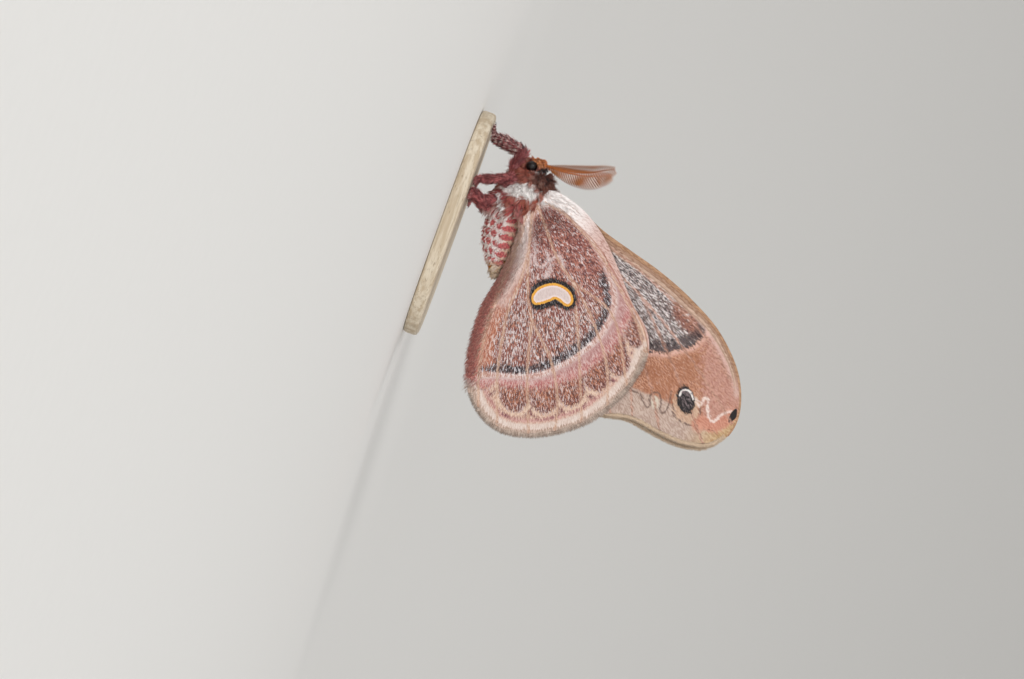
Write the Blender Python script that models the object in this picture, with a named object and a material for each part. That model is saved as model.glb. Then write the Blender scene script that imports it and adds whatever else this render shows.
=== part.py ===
"""Life-size model of a male Epiphora silk moth at rest, with its wings closed over its back.

Metres, +Z up. The head points to -X and the moth's left side to -Y. The moth stands on a
flat stand base, with the origin in the middle of the base's underside.

Sizes are in millimetres. A place on the moth is (along, across, up), counted from the point
between the wing hinges: along runs from head to tail, across from left to right.
"""
import math

import bmesh
import bpy
import numpy as np
from mathutils import Vector
from mathutils.bvhtree import BVHTree
from mathutils.geometry import delaunay_2d_cdt

MM = 0.001
GAP = 0.3                      # room between two pieces that touch

# Stand base and where the wing hinges stand over it
BASE_LENGTH = 47.0
BASE_WIDTH = 30.0
BASE_THICKNESS = 3.0
BASE_EDGE = 0.7                # bevel along the rims of the base
BASE_SQUARENESS = 2.6          # 2 is an ellipse, more is squarer
HINGE_ALONG = -10.0
HINGE_UP = 15.5
SOLE = BASE_THICKNESS + GAP - HINGE_UP

# Body, as oval rings: along, up, half height, half width
THORAX = [
    (-5.0, -1.9, 0.0, 0.0), (-4.7, -1.9, 2.3, 2.0), (-4.2, -1.7, 3.8, 3.1), (-3.3, -1.4, 5.0, 4.0),
    (-2.0, -1.6, 5.4, 4.5), (0.0, -1.9, 5.6, 4.7), (2.0, -2.5, 5.7, 4.6), (3.8, -3.2, 5.1, 4.1),
    (4.8, -3.7, 3.8, 3.3), (5.3, -3.8, 0.0, 0.0),
]
HEAD = [
    (-8.3, -1.3, 0.0, 0.0), (-8.0, -1.4, 1.0, 1.0), (-7.4, -1.7, 1.9, 1.7), (-6.6, -1.8, 2.4, 2.1),
    (-5.8, -1.9, 2.6, 2.3), (-4.9, -2.0, 2.5, 2.2), (-4.2, -2.0, 1.9, 1.8), (-3.9, -2.0, 0.0, 0.0),
]
ABDOMEN = [
    (3.2, -3.9, 0.0, 0.0), (3.5, -3.9, 2.8, 2.7), (4.4, -3.9, 3.8, 3.7), (6.5, -3.85, 4.0, 3.9),
    (8.8, -3.7, 4.0, 3.9), (11.1, -3.5, 3.65, 3.6), (13.0, -3.05, 2.95, 3.0),
    (14.9, -2.6, 2.05, 2.1), (16.3, -2.2, 1.2, 1.3), (17.1, -2.0, 0.0, 0.0),
]
ABDOMEN_SEGMENTS = 7
SEGMENT_DEPTH = 0.2            # how far the abdomen draws in between two segments
EYE_PLACE = (-6.1, 1.75, -2.5)
EYE_RADIUS = 1.15

# Locks of fur: where their rows lie along the body, and the sizes of one lock
THORAX_COAT = {
    "rows": (-4.5, -3.6, -2.6, -1.4, -0.1, 1.2, 2.5, 3.7), "spacing": 1.8, "length": 2.5,
    "half_width": 0.74, "half_thickness": 0.3, "rise": 0.62,
}
HEAD_COAT = {
    "rows": (-7.8, -7.1, -6.3, -5.5), "spacing": 1.15, "length": 1.4,
    "half_width": 0.42, "half_thickness": 0.26, "rise": 0.45,
}
LOCK_CLEARANCE = 0.36          # least room between a lock and the next node
COAT_DROOP = 0.25              # how far the lie of the coat turns down from straight back

# Wings
SHEET = 0.52                   # thickness of a wing between its veins
VEIN_HEIGHT = 0.18             # a vein's rise on each face
VEIN_HALF_WIDTH = 0.6
WINGS_APART = 0.75             # middle of a forewing from the moth's mid plane, out at the tip
ROOT_SPREAD = 2.1              # how much wider it stands at the hinge
ROOT_REACH = 9.0
LAYER = 1.2                    # from the middle of a forewing to the hindwing that covers it
ABDOMEN_ROOM = 1.3             # how far the hindwing's inner margin bends out round the abdomen
RIGHT_FOREWING_TURN = -1.1     # degrees that the right forewing lies further tailward
RIM_STEP = 2.1
CREST_STEP = 3.0
FILLER_STEP = 4.6

# Wing outlines as (along, up), from the hinge over the front margin to the tip and back
FOREWING = [
    (-1.6, 1.2), (-2.4, 4.7), (-1.5, 9.4), (0.9, 15.0), (2.8, 21.6), (4.8, 28.8), (7.7, 36.2),
    (12.2, 44.2), (19.2, 50.8), (26.3, 53.4), (31.0, 52.8), (34.4, 50.0), (35.8, 44.5),
    (35.4, 38.9), (34.7, 33.3), (35.6, 27.4), (33.6, 25.2), (24.0, 18.2), (12.0, 9.4), (2.6, 1.8),
]
HINDWING = [
    (-1.2, 0.2), (-2.9, 3.2), (-1.7, 9.4), (1.4, 14.8), (6.7, 20.3), (12.6, 25.6), (17.0, 30.4),
    (21.3, 32.2), (26.8, 31.7), (33.5, 29.0), (38.0, 26.0), (42.1, 21.1), (44.9, 15.7),
    (46.0, 9.7), (44.4, 4.9), (40.5, 0.9), (36.3, -0.4), (30.4, -1.7), (23.1, -2.0),
    (14.2, -0.5), (8.5, -0.2), (2.8, -1.2),
]

# Main veins as (along, up); a branch starts on a point of the vein that it leaves
FOREWING_VEINS = [
    [(-0.8, 3.0), (2.6, 14.5), (7.6, 29.0), (14.3, 42.0), (20.4, 49.4)],
    [(0.4, 3.0), (5.0, 14.0), (10.8, 27.0), (17.4, 38.0), (23.6, 46.6), (27.6, 51.6)],
    [(10.8, 27.0), (18.6, 34.8), (26.0, 41.6), (33.4, 47.8)],
    [(1.6, 2.6), (8.4, 12.4), (15.6, 22.6), (20.6, 29.4), (27.8, 35.4), (34.2, 39.2)],
    [(15.6, 22.6), (23.6, 28.6), (33.6, 33.4)],
    [(8.4, 12.4), (20.0, 20.6), (33.4, 28.6)],
]
HINDWING_VEINS = [
    [(-0.2, 2.6), (0.6, 6.6), (4.8, 15.0), (10.0, 21.4), (15.6, 27.4), (20.6, 30.6)],
    [(1.2, 1.4), (4.8, 4.6), (9.0, 8.2), (12.6, 13.0), (16.0, 22.4), (28.6, 29.6)],
    [(12.6, 13.0), (18.4, 19.2), (25.6, 24.8), (33.4, 27.6)],
    [(12.6, 13.0), (17.4, 15.4), (25.0, 18.8), (38.0, 24.2)],
    [(2.4, 0.6), (9.5, 2.6), (17.3, 5.2), (22.6, 8.0), (28.8, 14.2), (35.8, 18.2), (42.0, 19.8)],
    [(22.6, 8.0), (31.8, 10.4), (44.0, 15.0)],
    [(9.5, 2.6), (18.0, 4.6), (27.4, 3.9), (35.0, 5.2), (44.6, 8.8)],
    [(3.6, -0.2), (18.8, 1.2), (30.0, 0.8), (42.2, 3.8)],
]

# Antennae: the shaft's course, and the two rows of side branches on it
SHAFT = [
    (-7.0, 0.8, -1.6), (-7.3, 1.1, 0.6), (-7.5, 1.7, 2.9), (-8.0, 2.6, 6.0), (-8.9, 3.5, 9.0),
    (-10.1, 4.3, 11.3), (-11.0, 4.9, 13.2),
]
SHAFT_RADII = (0.36, 0.25)
BRANCH_COUNT = 17
BRANCH_LENGTH = 2.9
BRANCH_RADII = (0.26, 0.15)
BRANCH_LEAN = 0.55             # how far a branch leans towards the antenna's tip
BRANCH_SIDES = 4
BRANCH_ROWS = [(0.98, -0.2, 0.0), (-0.45, 0.89, 0.0)]

# Legs: hip, knee, ankle and claw, as (along, across, up), and the thickness at each
LEGS = {
    "foreleg": [(-2.9, 1.6, -5.6), (-5.6, 2.7, -5.7), (-8.1, 3.6, -4.9), (-9.0, 4.6, -8.2),
                (-9.4, 5.6, -11.5), (-10.4, 7.4, -12.0), (-11.0, 8.6, -12.0)],
    "midleg": [(-0.6, 2.2, -5.6), (-1.6, 4.4, -6.4), (-2.3, 5.6, -5.6), (-1.1, 6.3, -8.6),
               (0.0, 6.8, -11.6), (0.9, 8.4, -12.0), (1.4, 9.8, -12.0)],
    "hindleg": [(2.2, 1.8, -6.4), (3.4, 3.6, -8.6), (4.3, 4.8, -8.4), (3.3, 5.6, -10.2),
                (2.6, 6.2, -11.8), (3.8, 7.6, -12.0), (4.6, 8.6, -12.0)],
}
LEG_RADII = [0.8, 0.75, 0.62, 0.62, 0.48, 0.42, 0.3]
RIGHT_STANCE = {"foreleg": 0.5, "midleg": -0.4, "hindleg": 0.6}
LEG_SIDES = 8
LEG_STEP = 1.1

SIDES = {"left": -1.0, "right": 1.0}


def place(points):
    """Places on the moth, in millimetres, as world coordinates in metres."""
    return (np.asarray(points, float) + (HINGE_ALONG, 0.0, HINGE_UP)) * MM


def finish(obj, colour, roughness):
    """Gives an object its own material."""
    material = bpy.data.materials.new(obj.name)
    material.use_nodes = True
    shader = material.node_tree.nodes["Principled BSDF"]
    shader.inputs["Base Color"].default_value = (*colour, 1.0)
    shader.inputs["Roughness"].default_value = roughness
    shader.inputs["Metallic"].default_value = 0.0
    material.diffuse_color = (*colour, 1.0)
    obj.data.materials.clear()
    obj.data.materials.append(material)
    obj.data.shade_smooth()
    obj.data.set_sharp_from_angle(angle=math.radians(45))


def add_object(name, verts, faces):
    """Makes a closed mesh from places on the moth, with its faces turned outwards."""
    mesh = bpy.data.meshes.new(name)
    mesh.from_pydata(place(verts).tolist(), [], faces)
    bm = bmesh.new()
    bm.from_mesh(mesh)
    bmesh.ops.recalc_face_normals(bm, faces=bm.faces)
    bm.to_mesh(mesh)
    bm.free()
    obj = bpy.data.objects.new(name, mesh)
    bpy.context.scene.collection.objects.link(obj)
    return obj


def smooth_path(points, step, closed=False, round_ends=False):
    """A centripetal Catmull-Rom curve through the points, with samples about a step apart.

    Each of the given points is itself a sample. With round_ends, the last two values of a
    point are half sizes that reach zero at both ends, and the curve turns over there.
    """
    points = np.asarray(points, float)
    if closed:
        chain = np.vstack([points[-1], points, points[:2]])
    else:
        first = 2 * points[0] - points[1]
        last = 2 * points[-1] - points[-2]
        if round_ends:
            first = points[1] * (1, 1, -1, -1)
            last = points[-2] * (1, 1, -1, -1)
        chain = np.vstack([first, points, last])
    samples = []
    for p0, p1, p2, p3 in zip(chain, chain[1:], chain[2:], chain[3:]):
        t1 = np.linalg.norm(p1 - p0) ** 0.5
        t2 = t1 + np.linalg.norm(p2 - p1) ** 0.5
        t3 = t2 + np.linalg.norm(p3 - p2) ** 0.5
        count = max(1, round(np.linalg.norm(p2 - p1) / step))
        t = np.linspace(t1, t2, count, endpoint=False)[:, None]
        a1 = (t1 - t) / t1 * p0 + t / t1 * p1
        a2 = (t2 - t) / (t2 - t1) * p1 + (t - t1) / (t2 - t1) * p2
        a3 = (t3 - t) / (t3 - t2) * p2 + (t - t2) / (t3 - t2) * p3
        b1 = (t2 - t) / t2 * a1 + t / t2 * a2
        b2 = (t3 - t) / (t3 - t1) * a2 + (t - t1) / (t3 - t1) * a3
        samples.append((t2 - t) / (t2 - t1) * b1 + (t - t1) / (t2 - t1) * b2)
    if not closed:
        samples.append(points[-1:])
    return np.vstack(samples)


def skin_rings(rings):
    """Vertices and faces of a closed body: rings of equal size, a pole at each end."""
    rings = np.asarray(rings)
    count, sides = rings.shape[:2]
    verts = np.vstack([rings[0].mean(axis=0), rings.reshape(-1, 3), rings[-1].mean(axis=0)])
    last = len(verts) - 1
    faces = []
    for j in range(sides):
        k = (j + 1) % sides
        faces.append((0, 1 + k, 1 + j))
        for i in range(count - 1):
            low = 1 + i * sides
            high = low + sides
            faces.append((low + j, low + k, high + k, high + j))
        end = 1 + (count - 1) * sides
        faces.append((end + j, end + k, last))
    return verts, faces


def ringed_body(name, stations, step, sides, shape=None):
    """A body of oval rings across the moth; shape may draw the half sizes in along it."""
    profile = smooth_path(stations, step, round_ends=True)
    along, up, half_height, half_width = profile.T
    if shape is not None:
        half_height = half_height - shape(along)
        half_width = half_width - shape(along)
    turn = np.linspace(0, 2 * math.pi, sides, endpoint=False)
    across = half_width[:, None] * np.sin(turn)
    rise = up[:, None] + half_height[:, None] * np.cos(turn)
    grid = np.stack([np.broadcast_to(along[:, None], across.shape), across, rise], axis=2)
    body = add_object(name, *skin_rings(grid[1:-1]))
    poles = place([(along[0], 0, up[0]), (along[-1], 0, up[-1])])
    body.data.vertices[0].co = poles[0]
    body.data.vertices[len(body.data.vertices) - 1].co = poles[1]
    return body


def tube_rings(path, radii, sides):
    """Rings across a path; each ring's radius is given, and its sides stay lined up."""
    path = np.asarray(path, float)
    heading = np.gradient(path, axis=0)
    heading /= np.linalg.norm(heading, axis=1)[:, None]
    guide = np.array((0.0, 1.0, 0.0))
    if abs(heading[0] @ guide) > 0.8:
        guide = np.array((1.0, 0.0, 0.0))
    turn = np.linspace(0, 2 * math.pi, sides, endpoint=False)
    rings = []
    for centre, ahead, radius in zip(path, heading, radii):
        first = guide - (guide @ ahead) * ahead
        first /= np.linalg.norm(first)
        second = np.cross(ahead, first)
        guide = first
        circle = np.outer(np.cos(turn), first) + np.outer(np.sin(turn), second)
        rings.append(centre + radius * circle)
    return np.array(rings)


def along_path(path, values):
    """Values given at even fractions of a path's length, read off at each of its points."""
    run = np.concatenate([[0.0], np.cumsum(np.linalg.norm(np.diff(path, axis=0), axis=1))])
    return np.interp(run / run[-1], np.linspace(0, 1, len(values)), values)


def grown_copy(obj, amount):
    """A copy of an object whose surface stands further out, used as a cutter."""
    mesh = obj.data.copy()
    bm = bmesh.new()
    bm.from_mesh(mesh)
    bm.normal_update()
    moved = [(vert, vert.co + vert.normal * amount * MM) for vert in bm.verts]
    for vert, target in moved:
        vert.co = target
    bm.to_mesh(mesh)
    bm.free()
    cutter = bpy.data.objects.new(obj.name + "_cutter", mesh)
    bpy.context.scene.collection.objects.link(cutter)
    return cutter


def keep_largest(obj):
    """Keeps an object's largest closed surface and splits every face into triangles."""
    bm = bmesh.new()
    bm.from_mesh(obj.data)
    unseen = set(bm.verts)
    surfaces = []
    while unseen:
        surface = {unseen.pop()}
        edge_of_search = list(surface)
        while edge_of_search:
            vert = edge_of_search.pop()
            for edge in vert.link_edges:
                other = edge.other_vert(vert)
                if other in unseen:
                    unseen.discard(other)
                    surface.add(other)
                    edge_of_search.append(other)
        surfaces.append(surface)
    largest = max(surfaces, key=len)
    scraps = [vert for vert in bm.verts if vert not in largest]
    bmesh.ops.delete(bm, geom=scraps, context="VERTS")
    bmesh.ops.triangulate(bm, faces=bm.faces)
    bm.to_mesh(obj.data)
    bm.free()


def apply_boolean(obj, operation, cutter=None, collection=None):
    """Cuts or joins an object with another, or with a collection, and applies the result."""
    modifier = obj.modifiers.new("boolean", "BOOLEAN")
    modifier.solver = "EXACT"
    modifier.operation = operation
    if collection is None:
        modifier.object = cutter
    else:
        modifier.operand_type = "COLLECTION"
        modifier.collection = collection
    depsgraph = bpy.context.evaluated_depsgraph_get()
    mesh = bpy.data.meshes.new_from_object(obj.evaluated_get(depsgraph))
    obj.modifiers.clear()
    obj.data = mesh
    keep_largest(obj)


def cut_clear(obj, *neighbours):
    """Cuts an object back so that it meets its neighbours face to face with the gap."""
    for neighbour in neighbours:
        cutter = grown_copy(neighbour, GAP)
        apply_boolean(obj, "DIFFERENCE", cutter=cutter)
        bpy.data.objects.remove(cutter)


def step_up(value, low, high):
    """Rises smoothly from 0 at low to 1 at high."""
    part = np.clip((value - low) / (high - low), 0, 1)
    return part * part * (3 - 2 * part)


def forewing_level(along, up):
    """Distance of the forewing's middle surface from the moth's mid plane."""
    reach = np.hypot(along, up)
    return WINGS_APART + ROOT_SPREAD * np.exp(-(reach / ROOT_REACH) ** 1.5)


def hindwing_level(along, up):
    """Distance of the hindwing's middle surface, which bends out round the abdomen."""
    near_body = 1 - step_up(up, 1.0, 5.0)
    beside_abdomen = step_up(along, 0.5, 3.5) * (1 - step_up(along, 3.0, 22.0))
    return forewing_level(along, up) + LAYER + ABDOMEN_ROOM * near_body * beside_abdomen


def distance_to(points, segments):
    """Shortest distance from each point to any of the segments, in the wing's plane."""
    start = segments[:, 0]
    run = segments[:, 1] - start
    offset = points[:, None] - start
    share = np.clip((offset * run).sum(2) / (run * run).sum(1), 0, 1)
    return np.linalg.norm(offset - share[..., None] * run, axis=2).min(axis=1)


def is_inside(points, rim):
    """Whether each point lies within a closed outline, by counting crossings."""
    x, y = points[:, 0, None], points[:, 1, None]
    x1, y1 = rim.T
    x2, y2 = np.roll(rim, -1, axis=0).T
    straddles = (y1 > y) != (y2 > y)
    crossing = x1 + (y - y1) * (x2 - x1) / np.where(y2 == y1, 1.0, y2 - y1)
    return (straddles & (x < crossing)).sum(axis=1) % 2 == 1


def filler_points(rim):
    """A field of evenly spread points over the box of an outline."""
    low, high = rim.min(axis=0), rim.max(axis=0)
    rows = np.arange(low[1], high[1], FILLER_STEP * math.sqrt(0.75))
    field = []
    for i, up in enumerate(rows):
        start = low[0] + (i % 2) * FILLER_STEP / 2
        along = np.arange(start, high[0], FILLER_STEP)
        field.append(np.column_stack([along, np.full(len(along), up)]))
    return np.vstack(field)


def foot_lines(course, segments):
    """Lines along both feet of a vein's ridge, left out where another vein joins it."""
    run = np.gradient(course, axis=0)
    sideways = np.column_stack([-run[:, 1], run[:, 0]]) / np.linalg.norm(run, axis=1)[:, None]
    lines = []
    for side in (-1, 1):
        foot = course + side * VEIN_HALF_WIDTH * sideways
        free = distance_to(foot, segments) > 0.9 * VEIN_HALF_WIDTH
        between = 0.5 * (foot[:-1] + foot[1:])
        linked = free[:-1] & free[1:] & (distance_to(between, segments) > 0.8 * VEIN_HALF_WIDTH)
        lines.append((foot, free, linked))
    return lines


def wing_plan(outline, veins):
    """The wing laid flat: its points, its triangles and the vein segments."""
    rim = smooth_path(outline, RIM_STEP, closed=True)
    rim_segments = np.stack([rim, np.roll(rim, -1, axis=0)], axis=1)
    courses = [smooth_path(vein, CREST_STEP) for vein in veins]
    segments = np.vstack([np.stack([c[:-1], c[1:]], axis=1) for c in courses])
    points = [tuple(p) for p in rim]
    rim_loop = list(range(len(points)))
    edges = []
    for course in courses:
        start = len(points)
        points.extend(tuple(p) for p in course)
        edges.extend((i, i + 1) for i in range(start, len(points) - 1))
        for foot, free, linked in foot_lines(course, segments):
            number = len(points) + np.cumsum(free) - 1
            points.extend(tuple(p) for p in foot[free])
            edges.extend((number[i], number[i + 1]) for i in np.flatnonzero(linked))
    filler = filler_points(rim)
    filler = filler[is_inside(filler, rim)
                    & (distance_to(filler, segments) > 2.5 * VEIN_HALF_WIDTH)
                    & (distance_to(filler, rim_segments) > 2.0 * VEIN_HALF_WIDTH)]
    points.extend(tuple(p) for p in filler)
    flat = delaunay_2d_cdt(points, edges, [rim_loop], 1, 0.01)
    return np.array([tuple(v) for v in flat[0]]), [tuple(f) for f in flat[2]], segments


def wing(name, side, outline, veins, level):
    """A closed sheet that follows its level, split alike on both faces, its veins raised."""
    flat, triangles, segments = wing_plan(outline, veins)
    half = SHEET / 2 + VEIN_HEIGHT * np.clip(
        1 - distance_to(flat, segments) / VEIN_HALF_WIDTH, 0, 1)
    middle = level(flat[:, 0], flat[:, 1])
    outer = np.column_stack([flat[:, 0], side * (middle + half), flat[:, 1]])
    inner = np.column_stack([flat[:, 0], side * (middle - half), flat[:, 1]])
    count = len(flat)
    used = {}
    for face in triangles:
        for a, b in zip(face, face[1:] + face[:1]):
            used[(a, b)] = True
    rim_faces = [(a, b, b + count, a + count) for a, b in used if (b, a) not in used]
    inner_faces = [tuple(i + count for i in reversed(face)) for face in triangles]
    return add_object(name, np.vstack([outer, inner]), triangles + inner_faces + rim_faces)


def turned(points, degrees):
    """Points in the wing's plane, turned about the hinge."""
    angle = math.radians(degrees)
    along, up = np.asarray(points, float).T
    return np.column_stack([along * math.cos(angle) - up * math.sin(angle),
                            along * math.sin(angle) + up * math.cos(angle)])


def make_wings(thorax):
    """Four wings, cut back at their roots to the side of the thorax."""
    wings = []
    for side_name, side in SIDES.items():
        turn = RIGHT_FOREWING_TURN if side_name == "right" else 0.0
        outline = turned(FOREWING, turn)
        veins = [turned(vein, turn) for vein in FOREWING_VEINS]
        forewing = wing("forewing_" + side_name, side, outline, veins, forewing_level)
        cut_clear(forewing, thorax)
        finish(forewing, (0.46, 0.31, 0.23), 0.75)
        hindwing = wing("hindwing_" + side_name, side, HINDWING, HINDWING_VEINS, hindwing_level)
        cut_clear(hindwing, thorax)
        finish(hindwing, (0.30, 0.16, 0.14), 0.75)
        wings += [forewing, hindwing]
    return wings


def lock(root, lie, outward, length, half_width, half_thickness, rise):
    """A flat tapered lock of fur: sunk at its root, lying along the coat, its tip raised."""
    reach = np.array([-0.2, 0.3, 0.7, 1.0])
    lift = np.array([-0.75, 0.1, 0.55, 1.0])
    narrowing = np.array([0.8, 1.0, 0.7, 0.2])
    sideways = np.cross(lie, outward)
    middle = root + length * reach[:, None] * lie + rise * lift[:, None] * outward
    across = half_width * narrowing[:, None] * sideways
    through = half_thickness * narrowing[:, None] * outward
    rings = np.stack([middle + across, middle + through, middle - across, middle - through], axis=1)
    return skin_rings(rings)


def stands_clear(verts, trees):
    """Whether a lock keeps its clearance to every other node, tested at and between its rings."""
    rings = place(verts[1:-1]).reshape(-1, 4, 3)
    share = np.linspace(0, 1, 6)[:, None, None]
    for low, high in zip(rings, rings[1:]):
        for spot in ((1 - share) * low + share * high).reshape(-1, 3):
            for tree in trees:
                if tree.find_nearest(Vector(spot), LOCK_CLEARANCE * MM)[0] is not None:
                    return False
    return True


def add_locks(obj, stations, coat, neighbours):
    """Rows of overlapping locks round a body, wherever the other nodes leave room."""
    rng = np.random.default_rng(7)
    depsgraph = bpy.context.evaluated_depsgraph_get()
    trees = [BVHTree.FromObject(neighbour, depsgraph) for neighbour in neighbours]
    skin = BVHTree.FromObject(obj, depsgraph)
    profile = smooth_path(stations, 0.4, round_ends=True)
    lie_straight = np.array((1.0, 0.0, -COAT_DROOP))
    pieces = bpy.data.collections.new(obj.name + "_locks")
    for number, along in enumerate(coat["rows"]):
        up, half_height, half_width = [np.interp(along, profile[:, 0], profile[:, i])
                                       for i in (1, 2, 3)]
        count = round(math.pi * (half_height + half_width) / coat["spacing"])
        for i in range(count):
            angle = 2 * math.pi * (i + 0.5 * (number % 2) + rng.uniform(-0.15, 0.15)) / count
            root = np.array((along, half_width * math.sin(angle),
                             up + half_height * math.cos(angle)))
            outward = np.array(skin.find_nearest(Vector(place(root)))[1])
            lie = lie_straight - outward * (outward @ lie_straight)
            lie /= np.linalg.norm(lie)
            size = rng.uniform(0.85, 1.15, 2)
            verts, faces = lock(root, lie, outward, coat["length"] * size[0],
                                coat["half_width"] * size[1], coat["half_thickness"],
                                coat["rise"])
            if stands_clear(verts, trees):
                piece = add_object("lock", verts, faces)
                bpy.context.scene.collection.objects.unlink(piece)
                pieces.objects.link(piece)
    join_pieces(obj, pieces)


def join_pieces(obj, pieces):
    """Fuses a collection of closed pieces onto an object and removes them."""
    apply_boolean(obj, "UNION", collection=pieces)
    for piece in list(pieces.objects):
        bpy.data.objects.remove(piece)
    bpy.data.collections.remove(pieces)


def branch(root, ahead, outward, length):
    """One side branch of an antenna: four-sided, tapered, bent towards the tip."""
    reach = np.array([-0.05, 0.5, 1.0])
    lean = BRANCH_LEAN * reach * np.array([1.0, 0.8, 1.1])
    path = root + length * (reach[:, None] * outward + lean[:, None] * ahead)
    rings = tube_rings(path, np.linspace(*BRANCH_RADII, len(reach)), BRANCH_SIDES)
    return skin_rings(rings)


def antenna(name, side, head):
    """A shaft with two rows of branches, fused into one body and cut clear of the head."""
    mirror = np.array((1.0, side, 1.0))
    path = smooth_path(SHAFT, 0.8) * mirror
    shaft = add_object(name, *skin_rings(tube_rings(path, along_path(path, SHAFT_RADII), 8)))
    run = np.concatenate([[0.0], np.cumsum(np.linalg.norm(np.diff(path, axis=0), axis=1))])
    heading = np.gradient(path, axis=0)
    pieces = bpy.data.collections.new(name + "_pieces")
    for row in BRANCH_ROWS:
        for place_on_shaft in np.linspace(0.19, 0.97, BRANCH_COUNT):
            at = place_on_shaft * run[-1]
            root = np.array([np.interp(at, run, path[:, i]) for i in range(3)])
            ahead = np.array([np.interp(at, run, heading[:, i]) for i in range(3)])
            ahead /= np.linalg.norm(ahead)
            outward = np.array(row) * mirror
            outward -= (outward @ ahead) * ahead
            outward /= np.linalg.norm(outward)
            swell = math.sin(math.pi * (place_on_shaft - 0.1) / 0.95) ** 0.7
            piece = add_object("branch", *branch(root, ahead, outward, BRANCH_LENGTH * swell))
            bpy.context.scene.collection.objects.unlink(piece)
            pieces.objects.link(piece)
    join_pieces(shaft, pieces)
    cut_clear(shaft, head)
    finish(shaft, (0.36, 0.16, 0.06), 0.7)
    return shaft


def leg(name, side, course, shift, neighbours):
    """A bent leg from the thorax to a foot that lies flat over the base."""
    points = np.array(course, float)
    points[2:, 0] += shift
    points[:, 1] *= side
    path = smooth_path(points, LEG_STEP)
    rings = tube_rings(path, along_path(path, LEG_RADII), LEG_SIDES)
    rings[..., 2] = np.maximum(rings[..., 2], SOLE)
    limb = add_object(name, *skin_rings(rings))
    cut_clear(limb, *neighbours)
    finish(limb, (0.31, 0.06, 0.07), 0.7)
    return limb


def make_base():
    """A plain rounded plate with bevelled rims, flat on both faces."""
    turn = np.linspace(0, 2 * math.pi, 40, endpoint=False)
    power = 2 / BASE_SQUARENESS
    x = BASE_LENGTH / 2 * np.sign(np.cos(turn)) * np.abs(np.cos(turn)) ** power
    y = BASE_WIDTH / 2 * np.sign(np.sin(turn)) * np.abs(np.sin(turn)) ** power
    bm = bmesh.new()
    floor = [bm.verts.new((a * MM, b * MM, 0.0)) for a, b in zip(x, y)]
    underside = bm.faces.new(floor)
    raised = bmesh.ops.extrude_face_region(bm, geom=[underside])
    top = [item for item in raised["geom"] if isinstance(item, bmesh.types.BMVert)]
    bmesh.ops.translate(bm, verts=top, vec=(0.0, 0.0, BASE_THICKNESS * MM))
    rims = [edge for edge in bm.edges
            if abs(edge.verts[0].co.z - edge.verts[1].co.z) < 0.1 * MM]
    bmesh.ops.bevel(bm, geom=rims, offset=BASE_EDGE * MM, segments=2, profile=0.5,
                    affect="EDGES")
    bmesh.ops.recalc_face_normals(bm, faces=bm.faces)
    mesh = bpy.data.meshes.new("stand_base")
    bm.to_mesh(mesh)
    bm.free()
    base = bpy.data.objects.new("stand_base", mesh)
    bpy.context.scene.collection.objects.link(base)
    finish(base, (0.62, 0.55, 0.46), 0.45)


def segment_groove(along):
    """How far the abdomen is drawn in at the joins of its segments."""
    start, end = ABDOMEN[2][0], ABDOMEN[-2][0]
    phase = (along - start) / (end - start) * ABDOMEN_SEGMENTS
    groove = np.abs(np.cos(math.pi * phase)) ** 3
    inside = (along > start) & (along < end)
    return SEGMENT_DEPTH * groove * inside


def make_eye(name, side):
    """A round compound eye on the side of the head."""
    bm = bmesh.new()
    bmesh.ops.create_uvsphere(bm, u_segments=14, v_segments=8, radius=EYE_RADIUS * MM)
    mesh = bpy.data.meshes.new(name)
    bm.to_mesh(mesh)
    bm.free()
    along, across, up = EYE_PLACE
    centre = place([(along, across * side, up)])[0]
    for vert in mesh.vertices:
        vert.co = np.array(vert.co) + centre
    eye = bpy.data.objects.new(name, mesh)
    bpy.context.scene.collection.objects.link(eye)
    finish(eye, (0.02, 0.01, 0.01), 0.2)
    return eye


def make_body():
    """Thorax, head, eyes and abdomen, each cut clear of the one that carries it."""
    eyes = [make_eye("eye_" + side_name, side) for side_name, side in SIDES.items()]
    thorax = ringed_body("thorax", THORAX, 1.3, 24)
    cut_clear(thorax, *eyes)
    head = ringed_body("head", HEAD, 0.9, 20)
    cut_clear(head, thorax, *eyes)
    abdomen = ringed_body("abdomen", ABDOMEN, 0.56, 20, shape=segment_groove)
    cut_clear(abdomen, thorax)
    finish(abdomen, (0.62, 0.40, 0.38), 0.85)
    return thorax, head, abdomen, eyes


def build():
    for obj in list(bpy.data.objects):
        bpy.data.objects.remove(obj)
    make_base()
    thorax, head, abdomen, eyes = make_body()
    round_body = [abdomen, *eyes, *make_wings(thorax)]
    for side_name, side in SIDES.items():
        round_body.append(antenna("antenna_" + side_name, side, head))
        for leg_name, course in LEGS.items():
            shift = RIGHT_STANCE[leg_name] if side_name == "right" else 0.0
            round_body.append(leg(leg_name + "_" + side_name, side, course, shift,
                                  [thorax, head, *eyes]))
    add_locks(thorax, THORAX, THORAX_COAT, [head, *round_body])
    finish(thorax, (0.40, 0.20, 0.18), 0.9)
    add_locks(head, HEAD, HEAD_COAT, [thorax, *round_body])
    finish(head, (0.42, 0.22, 0.14), 0.9)


build()
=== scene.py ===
import math

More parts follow.
